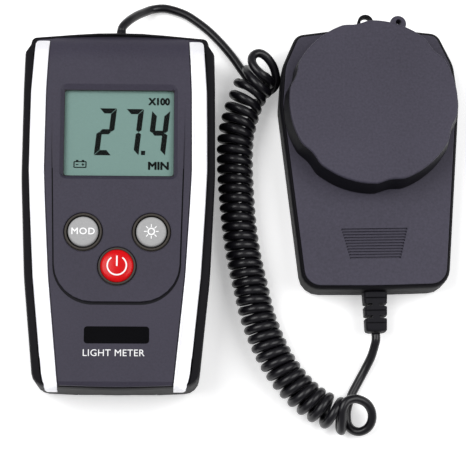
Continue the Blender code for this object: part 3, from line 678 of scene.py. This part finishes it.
panelSettings = {
    "windowMiddle": (0.2, 28.95), "windowSize": (43.5, 35.1), "windowCorner": 1.2,
    # the slope round the window: its reach to the sides, the top and the bottom, and its section as
    # (share of the reach, height from the panel's top)
    "rampReach": (1.7, 2.5, 1.4),
    "rampSection": ((0.0, -1.2), (0.06, -1.18), (0.8, -0.16), (1.0, 0.02), (1.08, 0.6)),
    "bezelHeights": (32.35, 32.8), "bezelWidth": 0.22, "bezelPlay": 0.02,
    "grooveCorners": [(27.25, 60, 0.5), (-27.25, 60, 0.5), (-24.5, -39.6, 15.7), (24.5, -39.6, 15.7)],
    "grooveDepth": 1.0, "grooveFade": (42, 30),
    # black sheet of painted shade in the foot groove: its outline, and its depths below the panel
    "shadeSheetCorners": [(27.2, 38, 0.5), (-27.2, 38, 0.5), (-24.45, -39.55, 15.7), (24.45, -39.55, 15.7)],
    "shadeSheetLevels": (0.75, 0.35),
    # the two ends, as (y, z)
    "topRollOff": ((57, 34.01), (59.5, 33.88), (61.5, 33.6), (63.5, 33.1), (65.3, 32.4), (67, 31.4),
                   (68.5, 30.1), (69.8, 28.5), (74, 28.5), (74, 37), (57, 37)),
    "bottomChamfer": ((-68.9, 36), (-68.9, 32.9), (-69.7, 32.1), (-71.4, 31.0), (-76, 31.0), (-76, 36)),
    "topReach": 28.9, "bottomReach": 40,
    # stiffening under the rolled-off end, (width, length, height) and middle
    "endBlock": ((52.0, 10.0, 6.2), (0, 64.6, 30.4)),
    "keyPlaces": ((-13.2, -11.1), (13.3, -11.1), (0.1, -24.6)),
    "holeRing": ((7.6, 31.5), (7.6, 33.65), (7.72, 33.9), (7.95, 34.0), (8.1, 34.0), (8.1, 31.5)),
}


def sweptAcross(name, section, reach):
    # a section of (y, z) swept from side to side
    return growRings(name, [[(x, y, z) for y, z in section] for x in (-reach, reach)])


def makeFrontPanel(settings):
    panel = copyOfNode("front_shell", "frontPanel")
    # the soft slope round the window
    (midX, midY), (width, height) = settings["windowMiddle"], settings["windowSize"]
    sideReach, topReach, lowReach = settings["rampReach"]
    rings = []
    for share, rise in settings["rampSection"]:
        side = width / 2 + sideReach * share
        low, high = midY - height / 2 - lowReach * share, midY + height / 2 + topReach * share
        turn = settings["windowCorner"] + sideReach * share
        box = boxCorners(midX - side, midX + side, low, high, turn)
        rings.append([(*point, meterShape["panelTop"] + rise) for point in roundedOutline(box, 5)])
    carve(panel, growRings("windowRamp", rings))
    # the groove at the foot of the raised middle
    fadeFrom, fadeLength = settings["grooveFade"]
    rings = []
    for corners, rise in ((settings["grooveCorners"], 3.4), (settings["grooveCorners"], 0),
                          (meterShape["plateau"], 0), (meterShape["plateau"], 3)):
        rings.append([(x, y, panelHeight(y) + (rise or -settings["grooveDepth"]
                                               * min(1, (fadeFrom - y) / fadeLength)))
                      for x, y in roundedOutline(corners, 12)])
    carve(panel, growRings("footGroove", rings))
    # the top end rolls off
    size, place = settings["endBlock"]
    carve(panel, addBar("endBlock", size, place), "UNION")
    carve(panel, sweptAcross("topCurve", settings["topRollOff"], settings["topReach"]))
    # the slope along the bottom end
    carve(panel, sweptAcross("bottomSlope", settings["bottomChamfer"], settings["bottomReach"]))
    finishPiece(panel, "panelGrey", "meter", ["front_shell"], 24)
    # rounded edges of the three key holes
    rings = [spunRing("holeRing", settings["holeRing"], place, 72) for place in settings["keyPlaces"]]
    finishPiece(joinPieces("keyHoleEdges", rings), "panelGrey", "meter", None, 50)


def makeFootShadeSheet(settings):
    # a black sheet laid in the groove at the foot of the raised middle: painted shade for the dark gap
    # there
    outline = roundedOutline(settings["shadeSheetCorners"], 12)
    shadeSheet = growRings("footShadeSheet", [[(x, y, panelHeight(y) - drop) for x, y in outline]
                                    for drop in settings["shadeSheetLevels"]])
    carve(shadeSheet, flatShape("shadeSheetHole", roundedOutline(meterShape["plateau"], 12), 30, 36))
    return finishPiece(shadeSheet, "capBlack", "meter")


def makeWindowBezel(settings):
    # a dark lip that rounds the window's corners
    (x, y), (width, height) = settings["windowMiddle"], settings["windowSize"]
    low, high = settings["bezelHeights"]
    wide, tall = width / 2 - settings["bezelPlay"], height / 2 - settings["bezelPlay"]
    bezel = addBar("windowBezel", (2 * wide, 2 * tall, high - low), (x, y, (low + high) / 2))
    wide, tall = wide - settings["bezelWidth"], tall - settings["bezelWidth"]
    inner = boxCorners(x - wide, x + wide, y - tall, y + tall, settings["windowCorner"])
    carve(bezel, layeredPiece("bezelHole", inner, [(31, 0), (35, 0)]))
    return finishPiece(bezel, "partBlack", "meter")


makeFrontPanel(panelSettings)
makeFootShadeSheet(panelSettings)
makeWindowBezel(panelSettings)
print("front panel made")


# silver strips

stripSettings = {
    "stations": (-72.95, -72.8, -72.4, -72.32, -71.2, -70.2, -69.1, -66, -60, -50, -40, -28, -14, 0, 14,
                 30, 46, 56, 62, 64.5, 66.2, 66.9, 67.05),
    "low": 30.9, "outerHeight": 32.5, "innerHeight": 33.65, "gap": 0.3, "endTucks": (0.55, 0.15),
    # the section: rounded outer edge, crown and rounded inner edge
    "outerEdge": ((0, 0.75), (0.12, 0.32), (0.5, 0)), "crown": (0.45, 0.72),
    "innerEdge": ((1.0, 0.04), (0.35, 0.1), (0.08, 0.35), (0, 0.7)),
    # the lower end wraps over the housing's end, and the upper end falls away
    "straightBelow": -69.7, "lipBelow": -72.35, "lipLow": 28.4, "lipFrom": -71.35, "lipReach": 1.6,
    "lipFall": 1.2, "topFallFrom": 62.0, "topFallTo": 67.05, "topFall": 2.3,
}


def makeStrip(name, side, settings):
    low, high = meterShape["frontEnds"]
    front = roundedOutline(bothSides(low, meterShape["frontSide"], high))
    panel = roundedOutline(bothSides(low, meterShape["panelSide"], high))
    rings = []
    stations = settings["stations"]
    for i, y in enumerate(stations):
        at = max(y, settings["straightBelow"])
        outer, inner = outlineSide(front, at), outlineSide(panel, at) + settings["gap"]
        fall = meterShape["panelTop"] - panelHeight(y)
        fallLength = settings["topFallTo"] - settings["topFallFrom"]
        fall += settings["topFall"] * max(0.0, (y - settings["topFallFrom"]) / fallLength) ** 2
        fromEnd = min(i, len(stations) - 1 - i)
        tuck = settings["endTucks"][fromEnd] if fromEnd < 2 else 0.0
        if y < settings["lipFrom"]:
            tuck += settings["lipFall"] * ((settings["lipFrom"] - y) / settings["lipReach"]) ** 2
        low = settings["lipLow"] if y < settings["lipBelow"] else settings["low"]
        high = max(settings["outerHeight"] - fall - tuck, low + 0.3)
        rise = max(settings["innerHeight"] - fall - tuck, low + 0.4)
        crownX, crownZ = settings["crown"]
        section = [(outer - tuck, low)]
        section += [(outer - inset - tuck, high - drop) for inset, drop in settings["outerEdge"]]
        section.append((outer + (inner - outer) * crownX, high + (rise - high) * crownZ))
        section += [(inner + inset, rise - drop) for inset, drop in settings["innerEdge"]]
        section.append((inner, low))
        rings.append([(side * x, y, max(z, low)) for x, z in section])
    return finishPiece(growRings(name, rings), "silverPaint", "meter", None, 40)


for side, word in ((1, "right"), (-1, "left")):
    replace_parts(makeStrip(word + "SilverStrip", side, stripSettings), word + "_trim_strip")
print("silver strips made")


# what the display shows

lcdSettings = {
    "low": 31.02, "high": 31.1, "slant": 6.2, "stroke": 2.05, "cut": 0.18,
    # digit: left, right, bottom, top, lit segments
    "digits": (((-9.7, -0.8), (20.3, 39.4), "abged"), ((0.9, 9.9), (20.3, 39.2), "abc"),
               ((11.2, 20.3), (20.3, 38.6), "fgbc")),
    "point": ((8.9, 10.5), (20.5, 22.2)),
    "words": (("X100", (11.8, 20.0, 41.0, 43.7)), ("MIN", (11.9, 19.7, 14.7, 17.6))),
    # battery sign: left, right, bottom, top; its line, terminals and marks
    "batterySign": (-17.4, -12.7, 15.3, 17.6), "batteryLine": 0.4, "terminal": (0.95, 0.7),
    "mark": (1.05, 0.34), "markReach": 1.15, "wordBold": 0.2,
}


def segmentOutlines(width, height, stroke, cut):
    # the seven bars of a digit whose lower left corner is the origin
    middle, half = height / 2, stroke / 2
    inner = stroke + cut
    slope, foot = middle + cut / 2 + half * 0.7, middle + cut / 2
    left = [(0, slope), (half, foot), (stroke, slope), (stroke, height - inner), (0, height - cut)]
    lower = [(x, height - y) for x, y in reversed(left)]
    top = [(cut, height), (stroke + cut / 2, height - stroke),
           (width - stroke - cut / 2, height - stroke), (width - cut, height)]
    bar = [(half + cut, middle), (stroke, middle - half), (width - stroke, middle - half),
           (width - half - cut, middle), (width - stroke, middle + half), (stroke, middle + half)]
    return {
        "a": top, "d": [(x, height - y) for x, y in reversed(top)], "g": bar, "f": left, "e": lower,
        "b": [(width - x, y) for x, y in reversed(left)],
        "c": [(width - x, y) for x, y in reversed(lower)],
    }


def makeLcdContent(settings):
    low, high = settings["low"], settings["high"]
    lean = math.tan(math.radians(settings["slant"]))
    parts = []
    for (left, right), (bottom, top), lit in settings["digits"]:
        height = top - bottom
        width = right - left - lean * height
        outlines = segmentOutlines(width, height, settings["stroke"], settings["cut"])
        for segment in lit:
            points = [(left + x + lean * y, bottom + y) for x, y in outlines[segment]]
            parts.append(flatShape("segment", points, low, high))
    (left, right), (bottom, top) = settings["point"]
    parts.append(addBar("point", (right - left, top - bottom, high - low),
                        ((left + right) / 2, (bottom + top) / 2, (low + high) / 2)))
    for words, box in settings["words"]:
        parts.append(addText("words", words, box, low, high, settings["wordBold"]))
    left, right, bottom, top = settings["batterySign"]
    line, terminal, mark = settings["batteryLine"], settings["terminal"], settings["mark"]
    middle, centre = (left + right) / 2, (bottom + top) / 2
    bars = [((right - left, line), (middle, y)) for y in (bottom, top)]
    bars += [((line, top - bottom), (x, centre)) for x in (left, right)]
    for reach in (-settings["markReach"], settings["markReach"]):
        bars += [(terminal, (middle + reach, top + terminal[1] / 2)), (mark, (middle + reach, centre))]
    bars.append((mark[::-1], (middle + settings["markReach"], centre)))
    for size, place in bars:
        parts.append(addBar("batteryLine", (*size, high - low), (*place, (low + high) / 2)))
    return finishPiece(joinPieces("lcdContent", parts), "lcdInk", "meter")


makeLcdContent(lcdSettings)
print("display content made")


# keys, with their collars and signs

keySettings = {
    # face: the height of its middle, and how far it falls at a reach from the middle
    "mode": {"place": (-13.2, -11.1), "radius": 5.9, "face": (35.4, 0.1, 4.8), "finish": "keyGrey",
             "slot": "grey_key"},
    "light": {"place": (13.3, -11.1), "radius": 5.9, "face": (35.4, 0.1, 4.8), "finish": "keyGrey",
              "slot": "grey_key"},
    "power": {"place": (0.1, -24.6), "radius": 6.45, "face": (36.0, 0.32, 4.2), "finish": "keyRed",
              "slot": "red_key"},
    "stem": ((2, 28.9), (2, 31)), "side": ((0, 31), (0, 34.35), (0.12, 34.75), (0.4, 35.05)),
    "faceRings": (0.86, 0.7, 0.5, 0.3, 0.12),
    "signLow": -0.1, "signHigh": 0.16, "modeBox": (-4.45, 4.55, -1.3, 1.3), "modeBold": 0.06,
    "sunRing": (0.95, 1.5), "ray": (1.15, 0.4), "rayReach": 2.3, "rays": 8,
    # power sign: the open ring's radius, width and angles, then the bar's size and its middle
    "powerArc": (3.7, 0.55, 125, 415, 48), "powerBar": (0.6, 4.1), "powerBarUp": 1.75,
    "collarSection": ((6.45, 33.0), (6.45, 34.2), (6.55, 34.5), (6.8, 34.66), (7.1, 34.6),
                      (7.25, 34.4), (7.3, 34.0), (7.3, 33.0)),
    "matCut": (9, (33.2, 36)),
}
keyNames = ("mode", "light", "power")


def faceHeight(key, reach):
    middle, fall, fullReach = key["face"]
    return middle - fall * (reach / fullReach) ** 2


def makeKey(name, settings):
    key = settings[name]
    radius = key["radius"]
    profile = [*settings["stem"], *[(radius - inset, height) for inset, height in settings["side"]]]
    profile += [(radius * share, faceHeight(key, radius * share)) for share in settings["faceRings"]]
    piece = turnedPiece(name + "Key", profile, key["place"], 56)
    return finishPiece(piece, key["finish"], name + "_key", [name + "_button"], 38)


def finishSign(piece, name, settings):
    # moves a flat sign, made from z 0 up, onto its key's face
    key = settings[name]
    for vert in piece.data.vertices:
        reach = math.hypot(vert.co.x / mm - key["place"][0], vert.co.y / mm - key["place"][1])
        vert.co.z += faceHeight(key, reach) * mm
    finishPiece(piece, "legendWhite", name + "_key")


def makeSigns(settings):
    low, high = settings["signLow"], settings["signHigh"]
    thick, level = high - low, (high + low) / 2
    # mode: three capital letters
    x, y = settings["mode"]["place"]
    left, right, bottom, top = settings["modeBox"]
    box = (x + left, x + right, y + bottom, y + top)
    finishSign(addText("modeSign", "MOD", box, low, high, settings["modeBold"], 1.1), "mode", settings)
    # light: a sun
    x, y = settings["light"]["place"]
    inner, outer = settings["sunRing"]
    section = ((inner, low), (outer, low), (outer, high), (inner, high))
    parts = [spunRing("sunRing", section, (x, y), 32)]
    for i in range(settings["rays"]):
        turn = 360 * i / settings["rays"]
        (place, ) = arcPoints((x, y), settings["rayReach"], [math.radians(turn)])
        parts.append(addBar("ray", (*settings["ray"], thick), (*place, level), turn))
    finishSign(joinPieces("lightSign", parts), "light", settings)
    # power: an open ring with a bar
    x, y = settings["power"]["place"]
    arc = flatShape("powerArc", arcOutline((x, y), *settings["powerArc"]), low, high)
    bar = addBar("powerBar", (*settings["powerBar"], thick), (x, y + settings["powerBarUp"], level))
    finishSign(joinPieces("powerSign", [arc, bar]), "power", settings)


def makeKeyMat(settings):
    mat = copyOfNode("keypad_mat", "keyMat")
    for name in keyNames:
        carve(mat, roundCutter(*settings["matCut"], settings[name]["place"], 40))
    finishPiece(mat, "matRubber", "meter", ["keypad_mat"])
    collars = [spunRing("collar", settings["collarSection"], settings[name]["place"], 72)
               for name in keyNames]
    finishPiece(joinPieces("keyCollars", collars), "matRubber", "meter", None, 50)


for name in keyNames:
    makeKey(name, keySettings)
makeSigns(keySettings)
makeKeyMat(keySettings)
print("keys made")


# label on the panel's lower end

labelSettings = {
    "words": "LIGHT METER", "wordsBox": (-12.6, 11.1, -59.5, -56.9), "wordHeights": (-0.05, 0.06),
    "plaque": (-12.3, 12.8, -54.6, -48.0, 1.2), "plaqueLevels": [(-0.1, 0), (0.12, 0), (0.2, 0.08)],
}


def leanOnPanel(piece):
    # drops a flat piece made from z 0 up onto the sloping panel
    for vert in piece.data.vertices:
        vert.co.z += panelHeight(vert.co.y / mm) * mm
    return piece


def makeLabel(settings):
    low, high = settings["wordHeights"]
    words = addText("panelWords", settings["words"], settings["wordsBox"], low, high, spacing=1.05)
    finishPiece(leanOnPanel(words), "legendWhite", "meter")
    plaque = layeredPiece("plaque", boxCorners(*settings["plaque"]), settings["plaqueLevels"], 5)
    finishPiece(leanOnPanel(plaque), "plaqueBlack", "meter")


makeLabel(labelSettings)
print("label made")


# sensor head, made in its own frame and then laid beside the display unit

headSettings = {
    "place": (101.9, 24.0), "turn": 1.2,
    "ends": ((0, -54.2, 300), (0, 55.7, 120)),
    "side": [(29.4, -53.7, 8), (36.8, 22.5, 15), (35.3, 38.6, 15), (29.2, 52.2, 5)],
    # levels are (height, inset)
    "rimLevels": ((8.3, 0.0), (13.6, 0.0), (14.9, 0.12), (15.7, 0.45), (16.2, 0.95), (16.45, 1.5),
                  (16.5, 2.4)),
    "faceInset": 1.55, "faceLevels": ((15.9, 0.0), (16.72, 0.0), (16.92, 0.1), (17.0, 0.32)),
    "seatLow": 15.8, "seatPlay": 0.25, "wall": 1.9, "cavityHeights": (5, 15.2),
    "domeY": 19.65, "domeHole": 20.1,
    "capRing": ((29.7, 16.4), (29.7, 19.6), (30.0, 19.8), (31.1, 19.8), (31.4, 19.6), (31.4, 16.4)),
    # grip: eleven grooves, each a section of (height from the face, half width, extra half length)
    "gripY": (-29.9, -41.5), "gripHalf": (13.3, 10.3), "gripCount": 11,
    "gripSection": ((-0.9, 0.36, -0.2), (0.02, 0.42, 0), (1, 0.42, 0)),
    # eye for a lanyard: its middle, radii, heights and the feet of its right side
    "eye": (-0.3, 57.6), "eyeRadius": 3.2, "eyeHole": 2.05, "eyeHeights": (11.5, 15.5),
    "eyeArc": (20, 140, 16), "eyeFeet": ((4.6, -3.4), (3.7, -1.1)), "eyeSoftness": 0.35,
    "cableY": (-57, -50), "cableRadius": 3.7, "cableHeight": 8.15,
}
capSettings = {
    "radius": 33.9, "bore": 32.0, "boreLevels": ((0, 15.3), (0, 29.4), (0.1, 29.5)),
    "scallops": 6, "scallopTurn": 40.0, "scallopDepth": 1.15, "scallopHalf": 10.0,
    "scallopSharpness": 1.5, "steps": 144,
    # levels are (height, inset); the wall flares towards its foot
    "wallLevels": ((17.3, -0.9), (17.6, -1.2), (20.3, -1.02), (29.3, 0.1), (29.5, 0.35)),
    "faceLevels": ((29.5, 0.55), (29.65, 0.12), (30.25, 0.1), (30.58, 0.2), (30.84, 0.42),
                   (30.97, 0.75), (31.0, 1.15)),
    # the lug's profile is (inset, height)
    "lugAngle": 71.0, "lugReach": 34.5, "lugRadius": 3.3, "lugTrim": 32.9, "lugHeights": (22.2, 30.4),
    "lugProfile": ((0.3, 23.2), (0, 23.5), (0, 29.0), (0.15, 29.28), (0.45, 29.4)),
    "lugHole": 1.2, "lugHoleShift": (0.2, 0.6),
}


def layPiece(piece, place, turns):
    # moves a piece and turns it by degrees round x, y and z, all of it taken up in its mesh
    makeActive(piece)
    piece.location = [v * mm for v in place]
    piece.rotation_euler = [math.radians(v) for v in turns]
    bpy.ops.object.transform_apply(location=True, rotation=True, scale=True)
    return piece


def layOnHead(piece, settings=headSettings):
    return layPiece(piece, (*settings["place"], 0), (0, 0, settings["turn"]))


def layAlongY(piece, height):
    # a piece made upright on z, laid so that its height runs along y
    return layPiece(piece, (0, 0, height), (-90, 0, 0))


def headCorners(settings=headSettings):
    return bothSides(settings["ends"][0], settings["side"], settings["ends"][1])


def makeHeadRim(settings):
    corners = headCorners()
    rim = layeredPiece("headRim", corners, settings["rimLevels"])
    cavity = insetCorners(corners, settings["wall"])
    carve(rim, layeredPiece("cavity", cavity, [(height, 0) for height in settings["cavityHeights"]]))
    seat = insetCorners(corners, settings["faceInset"] - settings["seatPlay"])
    carve(rim, layeredPiece("faceSeat", seat, [(settings["seatLow"], 0), (20, 0)]))
    carve(rim, roundCutter(settings["domeHole"], (12, 20), (0, settings["domeY"]), 72))
    # the eye for a lanyard
    x, y = settings["eye"]
    first, sweep, steps = settings["eyeArc"]
    arch = [(x + footX, y + footY) for footX, footY in settings["eyeFeet"]]
    arch += arcPoints((x, y), settings["eyeRadius"],
                      [math.radians(first + sweep * i / steps) for i in range(steps + 1)])
    arch += [(x - footX, y + footY) for footX, footY in reversed(settings["eyeFeet"])]
    low, high = settings["eyeHeights"]
    eye = flatShape("lanyardEye", arch, low, high)
    carve(eye, roundCutter(settings["eyeHole"], (low - 1, high + 1), (x, y), 24))
    softenEdges(eye, settings["eyeSoftness"])
    carve(rim, eye, "UNION")
    cable = roundCutter(settings["cableRadius"], settings["cableY"], (0, 0), 32)
    carve(rim, layAlongY(cable, settings["cableHeight"]))
    # the front casing's sides and rounded top edge are painted near-black, darker than its grey face:
    # painted shade for sides that stand in deep shade
    finishPiece(layOnHead(rim), "trayBlack", "sensor_head", ["sensor_front_casing"])


def makeHeadFace(settings):
    corners = insetCorners(headCorners(), settings["faceInset"])
    face = layeredPiece("headFace", corners, settings["faceLevels"])
    middle, top = (0, settings["domeY"]), settings["faceLevels"][-1][0]
    carve(face, roundCutter(settings["domeHole"], (12, 20), middle, 72))
    grooves = []
    for i in range(settings["gripCount"]):
        share = i / (settings["gripCount"] - 1)
        y, half = between(settings["gripY"], share), between(settings["gripHalf"], share)
        rings = []
        for rise, wide, long in settings["gripSection"]:
            end = half + long
            rings.append([(end, y - wide, top + rise), (end, y + wide, top + rise),
                          (-end, y + wide, top + rise), (-end, y - wide, top + rise)])
        grooves.append(growRings("gripGroove", rings))
    carve(face, joinPieces("gripGrooves", grooves))
    ring = spunRing("capSeat", settings["capRing"], middle, 96)
    for piece in (ring, face):
        finishPiece(layOnHead(piece), "headGrey", "sensor_head")


def capOutline(radius, settings):
    points = []
    spacing = 360 / settings["scallops"]
    for i in range(settings["steps"]):
        angle = 360 * i / settings["steps"]
        off = (angle - settings["scallopTurn"] + spacing / 2) % spacing - spacing / 2
        share = min(1, abs(off) / settings["scallopHalf"])
        dip = math.cos(math.pi / 2 * share) ** settings["scallopSharpness"]
        points += arcPoints((0, 0), radius - settings["scallopDepth"] * dip, [math.radians(angle)])
    return points


def makeCap(settings):
    y = headSettings["domeY"]

    def scalloped(name, levels):
        return growRings(name, [[(pointX, pointY + y, height) for pointX, pointY
                                 in capOutline(settings["radius"] - inset, settings)]
                                for height, inset in levels])

    wall = scalloped("capWall", settings["wallLevels"])
    carve(wall, turnedPiece("capBore", [(settings["bore"] - inset, height) for inset, height
                                        in settings["boreLevels"]], (0, y), 96))
    (lug, ) = arcPoints((0, y), settings["lugReach"], [math.radians(settings["lugAngle"])])
    lugPiece = turnedPiece("capLug", [(settings["lugRadius"] - inset, height) for inset, height
                                      in settings["lugProfile"]], lug, 40)
    hole = [place + shift for place, shift in zip(lug, settings["lugHoleShift"])]
    carve(lugPiece, roundCutter(settings["lugHole"], settings["lugHeights"], hole, 20))
    carve(lugPiece, roundCutter(settings["lugTrim"], settings["lugHeights"], (0, y), 96))
    face = scalloped("capFace", settings["faceLevels"])
    finishPiece(layOnHead(lugPiece), "headGrey", "cap")
    finishPiece(layOnHead(wall), "capBlack", "cap", ["sensor_cap"])
    finishPiece(layOnHead(face), "headGrey", "cap")


makeHeadRim(headSettings)
makeHeadFace(headSettings)
makeCap(capSettings)
print("sensor head made")


# strain relief between the cord and the sensor head

reliefSettings = {
    "start": -54.4, "end": -70.5, "height": 8.15, "corner": 1.8,
    "halfWidth": (4.85, 4.3), "halfThick": (4.7, 4.0),
    # stations are (distance from the start, tuck) and (distance from the end, tuck)
    "startStations": ((2.6, 1.2), (0, 1.2), (0, 0.3), (-0.3, 0)),
    "endStations": ((0.9, 0), (0.3, 0.3), (0, 0.9)),
    # notches from both sides, their section as (distance from the middle, half width)
    "notches": (-59.7, -64.6), "notchSection": ((1.4, 0.5), (3.4, 0.55), (5.2, 0.9), (8, 1.2)),
    "slots": (-57.0, -62.1, -67.1), "slotHalf": 0.32, "slotLow": 3.25, "cutReach": 8,
}


def makeStrainRelief(settings):
    start, end, middle = settings["start"], settings["end"], settings["height"]
    stations = [(start + far, tuck) for far, tuck in settings["startStations"]]
    stations += [(end + far, tuck) for far, tuck in settings["endStations"]]
    rings = []
    for y, tuck in stations:
        share = min(1, (start - y) / (start - end))
        wide = between(settings["halfWidth"], share) - tuck
        thick = between(settings["halfThick"], share) - tuck
        box = boxCorners(-wide, wide, -thick, thick, settings["corner"])
        rings.append([(x, y, middle + z) for x, z in roundedOutline(box, 5)])
    relief = growRings("strainRelief", rings)
    cutters = []
    far = settings["cutReach"]
    for side in (-1, 1):
        for y in settings["notches"]:
            cutters.append(growRings("notch", [
                [(side * x, y - half, middle - far), (side * x, y + half, middle - far),
                 (side * x, y + half, middle + far), (side * x, y - half, middle + far)]
                for x, half in settings["notchSection"]]))
        for y in settings["slots"]:
            place = (0, y, middle + side * (settings["slotLow"] + far / 2))
            cutters.append(addBar("slot", (2 * far, 2 * settings["slotHalf"], far), place))
    carve(relief, joinPieces("reliefCuts", cutters))
    finishPiece(layOnHead(relief), "capBlack", "sensor_head", ["sensor_strain_relief"], 35)


makeStrainRelief(reliefSettings)
print("strain relief made")


# bushing where the cord leaves the display unit

bushingSettings = {
    "height": 14.0,
    "profile": ((5, 66.2), (5, 67.7), (3.3, 67.7), (3.3, 71.9), (3.9, 72.0), (3.8, 72.5), (3.0, 73.1),
                (2.2, 74.0), (1.9, 74.8), (1.86, 76.8)),
}


def makeBushing(settings):
    bushing = turnedPiece("cordBushing", settings["profile"], (0, 0), 32)
    finishPiece(layAlongY(bushing, settings["height"]), "capBlack", "meter", ["cord_grommet"])


makeBushing(bushingSettings)
print("bushing made")


# floor

floorSettings = {"size": 6, "place": (0.05, 0, -0.0002), "glow": 0.32}
bpy.ops.mesh.primitive_plane_add(size=floorSettings["size"], location=floorSettings["place"])
floor = bpy.context.active_object
floor.name = "paleFloor"
floorShader = finishes["paleFloor"].node_tree.nodes["Principled BSDF"]
floorShader.inputs["Emission Color"].default_value = (1, 1, 1, 1)
floorShader.inputs["Emission Strength"].default_value = floorSettings["glow"]
paint(floor, "paleFloor")
